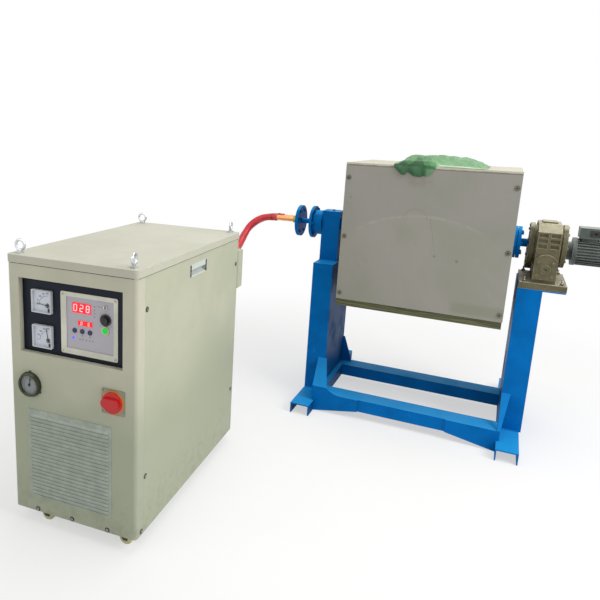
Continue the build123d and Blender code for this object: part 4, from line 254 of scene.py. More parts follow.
def enamel(name, tone, worn, top_light_tone):
    """Brushed-on gloss enamel: runs and brush marks, chips along the edges, painted light on faces that look
    up and painted shade on the posts' inner faces.
    """
    made, tree = shader(name, Specular_IOR_Level=0.05)
    patches = spread(grain(tree, 7, 6, 0.62), 0.38, 0.68)
    deep = shaded_tone(tone, 0.3)
    base = mix(times(patches, 0.24), tone, deep)
    chips = times(edges(tree, 0.003, 0.05, 0.4), spread(grain(tree, 90, 5, 0.7), 0.5, 0.62))
    base = tint(base, chips, 0.8, worn)
    scuffs = spread(grain(tree, 26, 8, 0.75, (1, 1, 0.25)), 0.62, 0.75)
    base = tint(base, scuffs, 0.22, rgb(120, 175, 215))
    # Painted light: faces that look up are tinted a paler blue.
    lit_tops = spread(facing_along(tree, up), 0.6, 0.95)
    base = tint(base, lit_tops, 0.75, top_light_tone)
    # Painted shade: the faces of the two posts that look towards each other are darkened.
    across = along(tree, (1, 0, 0))
    faces_right = spread(facing_along(tree, (1, 0, 0)), 0.6, 0.95)
    faces_left = spread(facing_along(tree, (-1, 0, 0)), 0.6, 0.95)
    left_post = times(faces_right, spread(across, -0.05, 0, 1, 0))
    right_post = times(faces_left, spread(across, 0.55, 0.6))
    inside = times(plus(left_post, right_post), 0.8)
    base = mix(inside, base, deep)
    strokes = grain(tree, 40, 4, 0.6, (1, 1, 0.12))
    peel = relief(grain(tree, 300, 2), 0.2, 0.0004)
    return dressed(made, base, spread(patches, 0, 1, 0.4, 0.55), relief(strokes, 0.25, 0.0012, peel))


def casting(name, tone, dust, rub=0.5):
    """Painted sand casting: grainy skin, darker patches, dust on faces that look up, rubbed edges."""
    made, tree = shader(name, Metallic=0.15)
    patches = spread(grain(tree, 22, 6, 0.65), 0.3, 0.7)
    deep = shaded_tone(tone, 0.55)
    base = mix(times(patches, 0.6), tone, deep)
    light = times(edges(tree, 0.003), spread(grain(tree, 120, 4, 0.7), 0.35, 0.6))
    base = tint(base, light, rub, dust)
    facing = facing_along(tree, up)
    settled = times(spread(facing, 0.78, 0.96), spread(patches, 0, 1, 0.45, 0.75))
    base = mix(settled, base, dust)
    pits = relief(grain(tree, 700, 3, 0.6), 0.45, 0.0006)
    return dressed(
        made, base, spread(patches, 0, 1, 0.42, 0.68), relief(grain(tree, 90, 3), 0.3, 0.0015, pits)
    )


def bare_metal(name, tone, roughness=0.3, tarnish=None):
    """Machined or plated metal with fine tool marks and some tarnish."""
    made, tree = shader(name, Metallic=1)
    marks = grain(tree, 260, 4, 0.6)
    spots = spread(grain(tree, 55, 6, 0.7), 0.48, 0.72)
    dull = tarnish or shaded_tone(tone, 0.45)
    return dressed(
        made,
        mix(times(spots, 0.6), tone, dull),
        spread(marks, 0.2, 0.8, roughness * 0.8, roughness * 1.5),
        relief(marks, 0.15, 0.0003),
    )


def plastic(name, tone, roughness=0.35, mottle=0.12):
    """Moulded plastic with a faint skin and a little dust."""
    made, tree = shader(name)
    cloud = spread(grain(tree, 90, 5, 0.65), 0.35, 0.7)
    dust = tuple(part * 0.8 + 0.06 for part in tone[:3]) + (1,)
    return dressed(
        made,
        mix(times(cloud, mottle * 2), tone, dust),
        spread(cloud, 0, 1, roughness, roughness + 0.15),
        relief(grain(tree, 900, 2), 0.15, 0.0002),
    )


def glowing(name, tone, strength, base=None):
    """Lit lamp or display: its light varies a little over the surface."""
    made, tree = shader(name, Roughness=0.25)
    flicker = spread(grain(tree, 60, 2), 0.2, 0.8, strength * 0.8, strength * 1.15)
    return dressed(
        made,
        mix(grain(tree, 500), base or tone, tone),
        glow=mix(grain(tree, 120), tone, tone),
        strength=flicker,
    )


def sheet_marks(tree, base):
    """Smears, creases, spots and stains on the furnace's front board, and a painted shadow and reflection of
    the cloth just below the cloth.
    """
    x = along(tree, (1, 0, 0))
    z = along(tree, (0, 0, 1))
    front = spread(along(tree, (0, 1, 0)), 0.303, 0.306, 1, 0)
    flat = (1, 0, 1)
    broken = spread(grain(tree, 24, 4, 0.7), 0.35, 0.6)
    from_bend = away_from(tree, (0.17, 0, 0.47), flat)
    arch = times(window(from_bend, 0.612, 0.621, 0.006), window(x, -0.12, 0.4, 0.05), broken)
    above = spread(from_bend, 0.6, 0.64)
    bow = window(away_from(tree, (0.125, 0, 1.062), flat), 0.056, 0.058, 0.0015)
    bow = times(bow, spread(z, 1.066, 1.076))
    leaning = plus(x, times(z, 0.2227))
    scratch = times(window(leaning, 0.4338, 0.4352, 0.0008), window(z, 0.925, 1.095, 0.01))
    spots = 0
    for place, size in (
        ((0.2308, 0, 0.9037), 0.005), ((0.3319, 0, 0.8918), 0.006), ((-0.189, 0, 1.152), 0.004)
    ):
        spot = spread(away_from(tree, place, flat), size * 0.6, size * 1.5, 1, 0)
        spots = plus(spots, spot)
    smudge = times(window(x, 0.33, 0.6, 0.02), window(z, 0.645, 0.695, 0.012))
    # Painted shadow and reflection of the cloth: a greenish-brown patch just below it.
    stain_and_shadow = spread(away_from(tree, (0.125, 0, 1.245), (1, 0, 2.2)), 0.02, 0.085, 1, 0)
    stain_and_shadow = times(stain_and_shadow, broken)
    for mask, weight, tone in (
        (above, 0.16, rgb(132, 130, 128)),
        (arch, 0.42, rgb(172, 170, 156)),
        (bow, 0.6, rgb(112, 110, 98)),
        (scratch, 0.6, rgb(104, 100, 90)),
        (spots, 0.7, rgb(104, 106, 96)),
        (smudge, 0.5, rgb(124, 126, 108)),
        # painted shadow and reflection of the cloth
        (stain_and_shadow, 0.4, rgb(122, 120, 100)),
    ):
        base = tint(base, times(mask, front), weight, tone)
    return base


def steel_sheet(name):
    """Dull stainless sheet that was wiped and splashed: smears, runs, dents and finger marks."""
    made, tree = shader(name, Metallic=0.2)
    wide = spread(grain(tree, 1.8, 5, 0.55, distortion=0.5), 0.3, 0.7)
    base = mix(wide, rgb(150, 147, 140), rgb(140, 140, 126))
    smear = spread(grain(tree, 7, 8, 0.7, (1, 1, 0.5), 1.4), 0.5, 0.75)
    base = tint(base, smear, 0.22, rgb(166, 160, 156))
    runs = spread(grain(tree, 34, 5, 0.6, (1, 1, 0.05)), 0.64, 0.74)
    reach = spread(along(tree, up), 0.95, 1.2)
    base = tint(base, times(runs, reach), 0.15, rgb(120, 116, 104))
    base = sheet_marks(tree, base)
    rim = edges(tree, 0.002)
    base = tint(base, rim, 0.5, rgb(190, 190, 180))
    rolled = relief(grain(tree, 500, 3, 0.6, (0.06, 0.06, 1)), 0.12, 0.0003)
    return dressed(
        made, base, spread(smear, 0, 1, 0.42, 0.56), relief(grain(tree, 4, 2), 0.25, 0.005, rolled)
    )


def board(name, tone, deep, layers=0, seam_top=None):
    """Refractory fibre board: soft grain, stains and, where they show, its layers and a painted shadow below
    its seam.
    """
    made, tree = shader(name, Roughness=0.85)
    stain_and_shadow = spread(grain(tree, 8, 7, 0.68), 0.3, 0.8)
    base = mix(times(stain_and_shadow, 0.3), tone, deep)
    if layers:
        strata = spread(grain(tree, 260, 2, 0.5, (0.02, 0.02, 1)), 0.42, 0.6)
        upright = spread(sums("ABSOLUTE", facing_along(tree, up)), 0.3, 0.7, 1, 0)
        strata = times(strata, upright)
        base = tint(base, strata, layers, rgb(126, 122, 86))
    # Painted shadow: the board turns dark below its seam with the sheet, where the gap lies in shade.
    if seam_top:
        ragged = spread(grain(tree, 30, 4), 0.2, 0.8, -0.0015, 0.0015)
        height = plus(along(tree, up), ragged)
        seam_shadow = spread(height, seam_top - 0.002, seam_top + 0.001, 1, 0)
        base = tint(base, seam_shadow, 0.75, rgb(92, 84, 76))
    return dressed(made, base, bump=relief(grain(tree, 380, 5, 0.7), 0.5, 0.0008))


def rubber_hose(name):
    """Red rubber water hose: cloth-wrapped skin, paler where it rubs."""
    made, tree = shader(name, Coat_Weight=0.15, Coat_Roughness=0.3)
    patches = spread(grain(tree, 26, 6, 0.65), 0.35, 0.7)
    base = mix(times(patches, 0.6), rgb(214, 40, 52), rgb(158, 26, 40))
    dust = spread(grain(tree, 80, 6, 0.7), 0.55, 0.75)
    base = tint(base, dust, 0.3, rgb(232, 120, 120))
    wrap = relief(grain(tree, 900, 2), 0.35, 0.0006)
    return dressed(made, base, spread(patches, 0, 1, 0.34, 0.5), wrap)


def net_cloth(name):
    """Green knitted net: open loops and pale fuzz, painted shade on its hanging lobes and under its folds,
    painted light on its right-hand slopes and its third lobe, and a painted shadow along its hem.
    """
    made, tree = shader(name, Roughness=0.82, Sheen_Weight=0.35)
    loops = cells(tree, 420)
    yarn = spread(loops, 0.15, 0.55)
    patches = spread(grain(tree, 16, 5, 0.65), 0.3, 0.7)
    base = mix(patches, rgb(104, 172, 104), rgb(72, 134, 80))
    base = tint(base, yarn, 0.55, rgb(50, 96, 58))
    fuzz = spread(grain(tree, 160, 6, 0.7), 0.52, 0.72)
    base = tint(base, fuzz, 0.45, rgb(158, 206, 140))
    wander = spread(grain(tree, 20, 3, 0.6), 0.2, 0.8, -0.03, 0.03)
    across = along(tree, (1, 0, 0))
    height = plus(along(tree, up), times(wander, 0.25))
    # Painted shade on the hanging lobes and under the folds; its top edge rises over each fold.
    left_fold = window(across, 0.034, 0.06, 0.014)
    wide_fold = window(across, 0.098, 0.135, 0.016)
    folds = plus(left_fold, times(wide_fold, 1.3))
    fading = spread(across, 0.125, 0.23, 1.33, 1.31)
    shade_top = plus(fading, times(folds, 0.018))
    under_fold = spread(sums("SUBTRACT", shade_top, height), -0.004, 0.006)
    left = spread(plus(across, wander), 0.225, 0.255, 1, 0)
    front = spread(along(tree, (0, 1, 0)), 0.345, 0.375, 1, 0)
    shaded = times(under_fold, left, front)
    base = tint(base, shaded, 0.86, rgb(38, 84, 50))
    # Painted light: the lower part of the third lobe is tinted lighter.
    third_lobe = spread(across, 0.142, 0.16)
    low_part = spread(along(tree, up), 1.304, 1.312, 1, 0)
    base = tint(base, times(third_lobe, low_part), 0.5, rgb(112, 170, 120))
    # Painted light on the slopes to the right, broken into patches.
    unshaded = sums("SUBTRACT", 1, shaded)
    patchy = spread(fuzz, 0, 1, 0.15, 0.85)
    uneven = plus(across, times(wander, 2.5))
    lit = times(spread(uneven, 0.1, 0.27), patchy, unshaded)
    base = mix(lit, base, rgb(172, 214, 164))
    hem = window(along(tree, (0, 1, 0)), 0.3, 0.33, 0.003)
    strip = times(spread(across, 0.19, 0.22), hem)
    base = tint(base, strip, 0.75, rgb(206, 232, 190))
    # Painted shadow: dark dashes along the hem.
    seam_shadow = times(window(along(tree, (0, 1, 0)), 0.329, 0.337, 0.001), spread(across, 0.2, 0.23))
    dashes = times(spread(grain(tree, 60, 2, 0.5, (1, 0.2, 0.2)), 0.46, 0.52), seam_shadow)
    base = tint(base, dashes, 0.85, rgb(56, 104, 60))
    gauze = spread(across, 0, 0.035, 1, 0)
    base = tint(base, times(gauze, unshaded), 0.7, rgb(204, 220, 190))
    knit = relief(loops, 0.8, 0.0016)
    return dressed(made, base, bump=relief(grain(tree, 220, 4, 0.7), 0.5, 0.002, knit))


def two_depths(name, near_tone, far_tone, border, roughness):
    """Front of the control module: a film set back behind a paler plate."""
    made, tree = shader(name)
    depth = along(tree, cabinet_back)
    share = spread(depth, border - 0.0002, border + 0.0002)
    cloud = spread(grain(tree, 12, 4), 0.3, 0.7)
    film = mix(cloud, near_tone, shaded_tone(near_tone, 0.82))
    return dressed(
        made,
        mix(share, film, far_tone),
        spread(cloud, 0, 1, roughness, roughness + 0.1),
        relief(grain(tree, 600, 2), 0.12, 0.0002),
    )


def grille_paint(name):
    """Painted grille: pale hoods, painted shade in the louvres' mouths, paler bands on their lips."""
    made, tree = shader(name, Specular_IOR_Level=0.2)
    height = along(tree, up)
    inside = window(along(tree, cabinet_right), grille_start, grille_end, 0.002)
    turn = sums("DIVIDE", sums("SUBTRACT", height, (430 - 14.3 * 30) * mm), 14.3 * mm)
    phase = sums("FRACT", plus(turn, 0.5))
    # Painted shade: a dark line in each louvre's mouth.
    mouth = window(phase, 0.14, 0.34, 0.05)
    lip = window(phase, 0.66, 0.92, 0.1)
    rows = window(height, 124 * mm, 438 * mm, 0.001)
    reach = times(inside, rows)
    cloud = spread(grain(tree, 30, 5, 0.65), 0.3, 0.7)
    base = mix(cloud, rgb(172, 180, 168), rgb(152, 162, 152))
    base = tint(base, times(mouth, reach), 0.86, rgb(66, 78, 76))
    base = tint(base, times(lip, reach), 0.4, rgb(196, 204, 190))
    return dressed(made, base, spread(cloud, 0, 1, 0.45, 0.6), relief(grain(tree, 500, 2), 0.2, 0.0003))


def fittings_metal(name):
    """Pink copper on the cables' lead tubes, olive brass on the nuts and ports."""
    made, tree = shader(name, Metallic=0.75)
    lead = window(along(tree, (1, 0, 0)), -0.7, -0.5672, 0.0006)
    spots = spread(grain(tree, 55, 6, 0.7), 0.42, 0.72)
    copper = mix(times(spots, 0.5), rgb(244, 176, 118), rgb(206, 130, 74))
    brass = mix(times(spots, 0.6), rgb(176, 164, 72), rgb(112, 104, 44))
    return dressed(
        made,
        mix(lead, brass, copper),
        spread(spots, 0, 1, 0.32, 0.5),
        relief(grain(tree, 260, 4), 0.15, 0.0003),
    )


def isolator_front(name):
    """Grey plate with painted shade along its edges and a yellow ring round the switch."""
    made, tree = shader(name)
    face = cabinet_point(*isolator_middle).dot(cabinet_back)
    ring = spread(along(tree, cabinet_back), face - 3.6 * mm, face - 3.2 * mm, 1, 0)
    cloud = spread(grain(tree, 60, 4), 0.3, 0.7)
    plate_tone = mix(cloud, rgb(150, 152, 134), rgb(134, 140, 122))
    ring_tone = mix(cloud, rgb(226, 150, 62), rgb(196, 132, 60))
    base = mix(ring, plate_tone, ring_tone)
    # Painted shade along the plate's edges.
    base = tint(base, edges(tree, 0.0015), 0.8, rgb(52, 52, 40))
    return dressed(made, base, spread(cloud, 0, 1, 0.34, 0.5), relief(grain(tree, 800, 2), 0.15, 0.0002))


isolator_middle = (418.5, 0, 550.5)
grille_start = cabinet_corner.dot(cabinet_right) + 82 * mm
grille_end = cabinet_corner.dot(cabinet_right) + 399 * mm
module_front = cabinet_corner.dot(cabinet_back) + 19.5 * mm
looks = {
    "cabinet": powder_coat("cabinet_paint", rgb(190, 191, 168), lower_shade_tone=rgb(166, 171, 148)),
    "lid": powder_coat("lid_paint", rgb(196, 195, 178)),
    "front": powder_coat("front_paint", rgb(202, 199, 180), lower_shade_tone=rgb(166, 172, 150)),
    "panel": powder_coat("panel_paint", rgb(12, 22, 36), 0.4, 0),
    "grille": grille_paint("grille_paint"),
    "meter": plastic("meter_case", rgb(205, 208, 212), 0.2),
    "module": two_depths("module_film", rgb(222, 222, 206), rgb(184, 180, 188), module_front, 0.3),
    "blue": enamel("frame_enamel", rgb(0, 110, 188), rgb(24, 56, 84), rgb(40, 158, 224)),
    "gearbox": casting("gearbox_paint", rgb(100, 94, 66), rgb(206, 200, 172), 0.8),
    "motor": casting("motor_paint", rgb(86, 94, 91), rgb(178, 182, 174), 0.6),
    "sheet": steel_sheet("furnace_sheet"),
    "top_board": board("top_board", rgb(196, 192, 176), rgb(170, 164, 146), 0, 1.3115),
    "base_board": board("base_board", rgb(66, 72, 50), rgb(34, 40, 28), 0.55),
    "crucible": board("crucible_clay", rgb(70, 66, 62), rgb(40, 38, 36)),
    "lining": board("lining_clay", rgb(202, 190, 164), rgb(168, 150, 120)),
    "steel": bare_metal("zinc_steel", rgb(176, 178, 178), 0.34, rgb(110, 104, 90)),
    "dark_steel": bare_metal("dark_steel", rgb(96, 98, 102), 0.4),
    "chrome": bare_metal("chrome", rgb(214, 216, 220), 0.14, rgb(150, 150, 150)),
    "brass": fittings_metal("brass_and_copper"),
    "screw": casting("screw_head", rgb(122, 122, 104), rgb(70, 66, 52), 0.8),
    "copper": bare_metal("copper", rgb(232, 150, 104), 0.3, rgb(170, 96, 60)),
    "aluminium": bare_metal("aluminium", rgb(196, 198, 202), 0.36),
    "black": plastic("black_plastic", rgb(24, 24, 26), 0.4),
    "aluminium_satin": plastic("pull_satin", rgb(206, 212, 206), 0.3, 0.15),
    "red": plastic("isolator_red", rgb(196, 20, 24), 0.34),
    "isolator": isolator_front("isolator_front"),
    "gauge": casting("gauge_case", rgb(62, 66, 46), rgb(120, 124, 96), 0.4),
    "navy": plastic("key_navy", rgb(34, 40, 84), 0.3),
    "nylon": plastic("wheel_nylon", rgb(206, 200, 158), 0.45, 0.2),
    "white_card": plastic("dial_card", rgb(214, 220, 230), 0.5, 0.05),
    "grey_card": plastic("gauge_card", rgb(142, 148, 150), 0.45, 0.08),
    "dark_paint": casting("fork_paint", rgb(58, 60, 44), rgb(110, 108, 84), 0.3),
    "ink": plastic("dial_ink", rgb(26, 28, 34), 0.6, 0.02),
    "rubber": rubber_hose("hose_rubber"),
    "sleeve": plastic("sleeve_red", rgb(206, 60, 62), 0.35, 0.25),
    "clamp": bare_metal("clamp_steel", rgb(150, 84, 66), 0.4),
    "green_lit": glowing("start_green", rgb(14, 196, 40), 0.55, rgb(10, 110, 30)),
    "red_lit": glowing("display_red", rgb(255, 18, 30), 0.9, rgb(120, 0, 8)),
    "digit_lit": glowing("display_digit", rgb(255, 132, 138), 2.2),
    "blue_lit": glowing("lamp_blue", rgb(40, 52, 255), 1.8),
    "cloth": net_cloth("cover_net"),
}

castors = "castor_{0}_front_left castor_{0}_front_right castor_{0}_back_left castor_{0}_back_right"
finishes = {
    "cabinet": "cabinet_sides cabinet_back terminal_box cabinet_base",
    "lid": "cabinet_lid",
    "front": "cabinet_front",
    "panel": "instrument_panel",
    "meter": "panel_meters",
    "module": "control_module",
    "grille": "intake_grille",
    "gauge": "pressure_gauge",
    "black": "power_knob upper_meter_needle lower_meter_needle gauge_needle fan_rotor",
    "isolator": "isolator_plate",
    "red": "isolator_handle",
    "chrome": "lifting_eyes toggle_lever",
    "aluminium_satin": "side_pulls",
    "dark_steel": "transformer",
    "dark_paint": castors.format("fork"),
    "steel": "cabinet_screws worm_shaft motor_rotor worm_wheel",
    "screw": "furnace_screws",
    "nylon": castors.format("wheel"),
    "green_lit": "start_button",
    "navy": "key_left key_middle key_right",
    "brass": "brass_fittings",
    "aluminium": "capacitor_bank inverter_cooling",
    "blue": "floor_feet cross_rails side_columns bearing_housing cable_flange left_trunnion right_trunnion",
    "gearbox": "gearbox_housing",
    "motor": "motor_housing",
    "sheet": "furnace_panels",
    "top_board": "top_slab",
    "base_board": "bottom_slab",
    "crucible": "crucible",
    "lining": "furnace_lining",
    "copper": "induction_coil",
    "rubber": "water_cable_near water_cable_far",
    "cloth": "cover_cloth",
}
for look, names in finishes.items():
    for name in names.split():
        nodes[name].data.materials.clear()
        nodes[name].data.materials.append(looks[look])


# Camera where the photographer stood, found from the cabinet's and the stand's corners
photo_size = 600
focal_pixels = 598.7
principal_x = 228.5
principal_y = 266.3
sensor = 36
lens_place = Vector((0.501, -2.632, 1.426))
look_right = Vector((0.9057, 0.4219, 0.0403)).normalized()
look_along = Vector((-0.4046, 0.889, -0.2145)).normalized()


def photo_camera():
    """Camera with the photograph's place, direction and framing."""
    data = bpy.data.cameras.new("photo_camera")
    data.sensor_width = sensor
    data.lens = sensor * focal_pixels / photo_size
    data.shift_x = (photo_size / 2 - principal_x) / photo_size
    data.shift_y = (principal_y - photo_size / 2) / photo_size
    data.clip_end = 60
    made = add_object("photo_camera", data)
    look_up = look_right.cross(look_along).normalized()
    made.matrix_world = axes_matrix(lens_place, look_right, look_up, -look_along)
    bpy.context.scene.camera = made


photo_camera()


# Water-cooled cables
cable_diameter = 0.038
near_route = (
    (-0.667, 0.579, 0.976),
    (-0.7285, 0.579, 0.976),
    (-0.784, 0.5646, 0.9536),
    (-0.821, 0.538, 0.915),
    (-0.8339, 0.5035, 0.8661),
    (-0.832, 0.441, 0.821),
    (-0.819, 0.352, 0.796),
    (-0.784, 0.188, 0.800),
    (-0.7429, 0.0019, 0.832),
    (-0.7353, -0.1179, 0.832),
)
far_route = (
    (-0.641, 0.623, 0.976),
    (-0.715, 0.624, 0.976),
    (-0.786, 0.611, 0.953),
    (-0.839, 0.581, 0.905),
    (-0.861, 0.537, 0.845),
    (-0.862, 0.462, 0.792),
    (-0.852, 0.350, 0.764),
    (-0.843, 0.190, 0.788),
    (-0.8228, -0.0029, 0.832),
    (-0.8152, -0.1229, 0.832),
)


def water_cable(name, cad_node, route):
    """Red hose on a smooth curve through the gap between the furnace and the cabinet."""
    data = bpy.data.curves.new(name, "CURVE")
    data.dimensions = "3D"
    data.bevel_depth = cable_diameter / 2
    data.bevel_resolution = 10
    data.resolution_u = 24
    line = data.splines.new("NURBS")
    line.points.add(len(route) - 1)
    for point, place in zip(line.points, route):
        point.co = (*place, 1)
    line.order_u = 3
    line.use_endpoint_u = True
    data.materials.append(looks["rubber"])
    made = add_object(name, data)
    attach(made, "stand")
    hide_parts(cad_node)
    return made


water_cable("near_hose", "water_cable_near", near_route)
water_cable("far_hose", "water_cable_far", far_route)


# Mesh helpers
def piece(name, shape, look, body="stand", sharp=35):
    """Turns a bmesh into a named piece that rides on a body."""
    limit = radians(sharp)
    shape.normal_update()
    for face in shape.faces:
        face.smooth = True
    for edge in shape.edges:
        edge.smooth = len(edge.link_faces) == 2 and edge.calc_face_angle() < limit
    data = bpy.data.meshes.new(name)
    shape.to_mesh(data)
    shape.free()
    data.materials.append(looks[look])
    made = add_object(name, data)
    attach(made, body)
    return made


def polar(radius, angle):
    """Point at a distance and an angle from the middle."""
    return radius * cos(angle), radius * sin(angle)


def ring_points(radius, count, start=0, sweep=2 * pi):
    """Points round a circle or an arc of one."""
    steps = count if abs(sweep) > 6.28 else count - 1
    return [polar(radius, start + sweep * i / steps) for i in range(count)]


def rounded_rectangle(width, height, radius):
    """Outline of a rectangle with round corners, about its middle."""
    points = []
    for index, (sign_x, sign_y) in enumerate(((1, 1), (-1, 1), (-1, -1), (1, -1))):
        centre_x = sign_x * (width / 2 - radius)
        centre_y = sign_y * (height / 2 - radius)
        for x, y in ring_points(radius, 6, index * pi / 2, pi / 2):
            points.append((centre_x + x, centre_y + y))
    return points


def join_rings(shape, rings, count, capped=True):
    """Faces between rings of points, of which one may be a single point, and over both ends."""
    for first, second in zip(rings, rings[1:]):
        for i in range(count):
            corners = [first[i % len(first)], first[(i + 1) % len(first)]]
            corners += [second[(i + 1) % len(second)], second[i % len(second)]]
            shape.faces.new(list(dict.fromkeys(corners)))
    if capped:
        shape.faces.new(rings[-1])
        shape.faces.new(list(reversed(rings[0])))


def plate(shape, outline, low, high, place, bevel=0):
    """Extrudes an outline between two heights, with its top edge bevelled."""
    levels = [(low, 0), (high - bevel, 0), (high, bevel)] if bevel else [(low, 0), (high, 0)]
    rings = []
    middle_x = sum(x for x, _ in outline) / len(outline)
    middle_y = sum(y for _, y in outline) / len(outline)
    reach = max(hypot(x - middle_x, y - middle_y) for x, y in outline)
    for level, inset in levels:
        share = 1 - inset / reach
        ring = []
        for x, y in outline:
            spot = Vector((middle_x + (x - middle_x) * share, middle_y + (y - middle_y) * share, level))
            ring.append(shape.verts.new(place @ spot))
        rings.append(ring)
    join_rings(shape, rings, len(outline))
    return shape


def lathe(shape, profile, place, count=32):
    """Turns a profile of (radius, height) points about the local z axis."""
    rings = []
    for radius, height in profile:
        if radius < 1e-6:
            rings.append([shape.verts.new(place @ Vector((0, 0, height)))])
        else:
            points = ring_points(radius, count)
            rings.append([shape.verts.new(place @ Vector((x, y, height))) for x, y in points])
    join_rings(shape, rings, count, capped=False)
    return shape


def stroke(shape, start, end, width, thickness, place):
    """Thin raised bar from one point to another in a local plane."""
    first = Vector(start)
    span = Vector(end) - first
    turned = place @ Matrix.Translation((*first, 0)) @ Matrix.Rotation(atan2(span.y, span.x), 4, "Z")
    outline = [(0, -width / 2), (span.length, -width / 2), (span.length, width / 2), (0, width / 2)]
    plate(shape, outline, 0, thickness, turned)


def cross(shape, place, turn, reach, width):
    """Two bars at right angles, as in the head of a cross-slotted screw."""
    for angle in (turn, turn + 90):
        spin = place @ Matrix.Rotation(radians(angle), 4, "Z")
        stroke(shape, (-reach, 0), (reach, 0), width, 0.0001, spin)


def print_text(shape, words, size, place):
    """Adds plain numbers as raised print, centred on the local origin."""
    data = bpy.data.curves.new("print", "FONT")
    data.body = words
    data.size = size
    data.align_x = "CENTER"
    data.align_y = "CENTER"
    data.extrude = 0.0001
    data.resolution_u = 3
    made = add_object("print", data)
    bpy.context.view_layer.update()
    flat = made.to_mesh()
    flat.transform(place)
    shape.from_mesh(flat)
    made.to_mesh_clear()
    bpy.data.objects.remove(made)
    bpy.data.curves.remove(data)


# Cabinet instruments
display_face = 20
module_face = 21


def dial_scale(name, place, radius, start, sweep, marks, numbers, size, width):
    """Printed arc with marks and numbers on a dial card."""
    shape = bmesh.new()
    rise = 0.0001
    start = radians(start)
    sweep = radians(sweep)
    arc = ring_points(radius, 40, start, sweep)
    for first, second in zip(arc, arc[1:]):
        stroke(shape, first, second, width * 0.7, rise, place)
    for i in range(marks + 1):
        angle = start + sweep * i / marks
        long = i % (marks // (len(numbers) - 1)) == 0
        outer = radius * (1.14 if long else 1.07)
        thick = width * (1.4 if long else 1)
        stroke(shape, polar(radius, angle), polar(outer, angle), thick, rise, place)
    for i, number in enumerate(numbers):
        angle = start + sweep * i / (len(numbers) - 1)
        spot = Vector((*polar(1, angle), 0)) * radius * 1.3
        print_text(shape, number, size, place @ Matrix.Translation(spot))
    piece(name, shape, "ink")


def panel_meter(which, z, numbers):
    """White card, scale and black cap of one panel meter."""
    outline = rounded_rectangle(0.0715, 0.0715, 0.002)
    card = plate(bmesh.new(), outline, 0.00002, 0.0003, front_face(130, 17, z))
    piece(which + "_meter_card", card, "white_card")
    pivot = front_face(150.5, 16.6, z - 13.5)
    dial_scale(which + "_meter_scale", pivot, 0.033, 180, -90, 20, numbers, 0.0078, 0.0006)
    profile = [(0.0066, 0), (0.0066, 0.0012), (0.008, 0.0012), (0.008, 0)]
    piece(which + "_meter_collar", lathe(bmesh.new(), profile, pivot), "ink")


panel_meter("upper", 851, ("0", "50", "100", "150", "200"))
panel_meter("lower", 727, ("0", "150", "300", "450", "600"))


segment_bars = {
    "top": ((0, 1), (1, 1)),
    "middle": ((0, 0.5), (1, 0.5)),
    "bottom": ((0, 0), (1, 0)),
    "upper_left": ((0, 0.5), (0, 1)),
    "upper_right": ((1, 0.5), (1, 1)),
    "lower_left": ((0, 0), (0, 0.5)),
    "lower_right": ((1, 0), (1, 0.5)),
}
dark_bars = {
    "0": ("middle",),
    "2": ("upper_left", "lower_right"),
    "6": ("upper_right",),
    "8": (),
}


def display(name, digits, left, right, bottom, top):
    """Lit window with bright seven-bar digits."""
    width = (right - left) * mm
    height = (top - bottom) * mm
    place = front_face((left + right) / 2, display_face, (bottom + top) / 2)
    pane = plate(bmesh.new(), rounded_rectangle(width, height, 0.0015), 0.00002, 0.0006, place, 0.0003)
    piece(name + "_window", pane, "red_lit")
    bars = bmesh.new()
    pitch = width / len(digits)
    digit_height = height * 0.62
    digit_width = digit_height * 0.52
    for index, digit in enumerate(digits):
        start_x = (index + 0.5) * pitch - width / 2 - digit_width / 2
        for bar, ends in segment_bars.items():
            if bar in dark_bars[digit]:
                continue
            points = []
            for x, y in ends:
                points.append((start_x + x * digit_width + (y - 0.5) * 0.0012, (y - 0.5) * digit_height))
            stroke(bars, *points, digit_height * 0.15, 0.0009, place)
    piece(name + "_digits", bars, "digit_lit")


display("output_display", "028", 248, 321, 830, 865)
display("setting_display", "06", 270, 326, 787, 804)


def lamp(name, a, z, radius, look):
    """Small domed lamp on the module."""
    profile = [(radius, 0)]
    for step in range(1, 6):
        angle = step * pi / 12
        profile.append((radius * cos(angle), radius * 0.7 * sin(angle)))
    profile.append((0, radius * 0.7))
    dome = lathe(bmesh.new(), profile, front_face(a, module_face, z), 20)
    piece(name, dome, look)


for index, a in enumerate((276, 287, 301, 314, 327)):
    lamp(f"status_lamp_{index}", a, 738.5, 0.0017, "ink")
for index, z in enumerate((860, 848, 836, 824)):
    lamp(f"unit_lamp_{index}", 334, z, 0.0016, "ink")
lamp("power_lamp", 249.3, 740.5, 0.0042, "blue_lit")


# Cover cloth over the mouth
cloth_left = 0.0055
slab_top = 1.319
slab_front = 0.3015
fold_places = (0, 0.066, 0.118, 0.19, 0.3, 0.405)
fold_heights = (0.003, 0.038, 0.036, 0.043, 0.038, 0.003)
hem_line = ((0, 0.008), (0.018, 0.026), (0.038, 0.043), (0.052, 0.044), (0.06, 0.03), (0.072, 0.034),
            (0.092, 0.046), (0.124, 0.049), (0.132, 0.043), (0.15, 0.045), (0.172, 0.03), (0.192, 0.01))
hanging_width = 0.192
cloth_length = 0.44


def blend(value, low, high):
    """Smooth step from 0 to 1."""
    share = min(1, max(0, (value - low) / (high - low)))
    return share * share * (3 - 2 * share)


def fold_height(x):
    """Height of the heap's crest line at a distance from its left end."""
    for index in range(len(fold_places) - 1):
        start, end = fold_places[index], fold_places[index + 1]
        if x <= end:
            share = (x - start) / (end - start)
            share = 0.45 * share + 0.55 * blend(share, 0, 1)
            return fold_heights[index] + (fold_heights[index + 1] - fold_heights[index]) * share
    return fold_heights[-1]


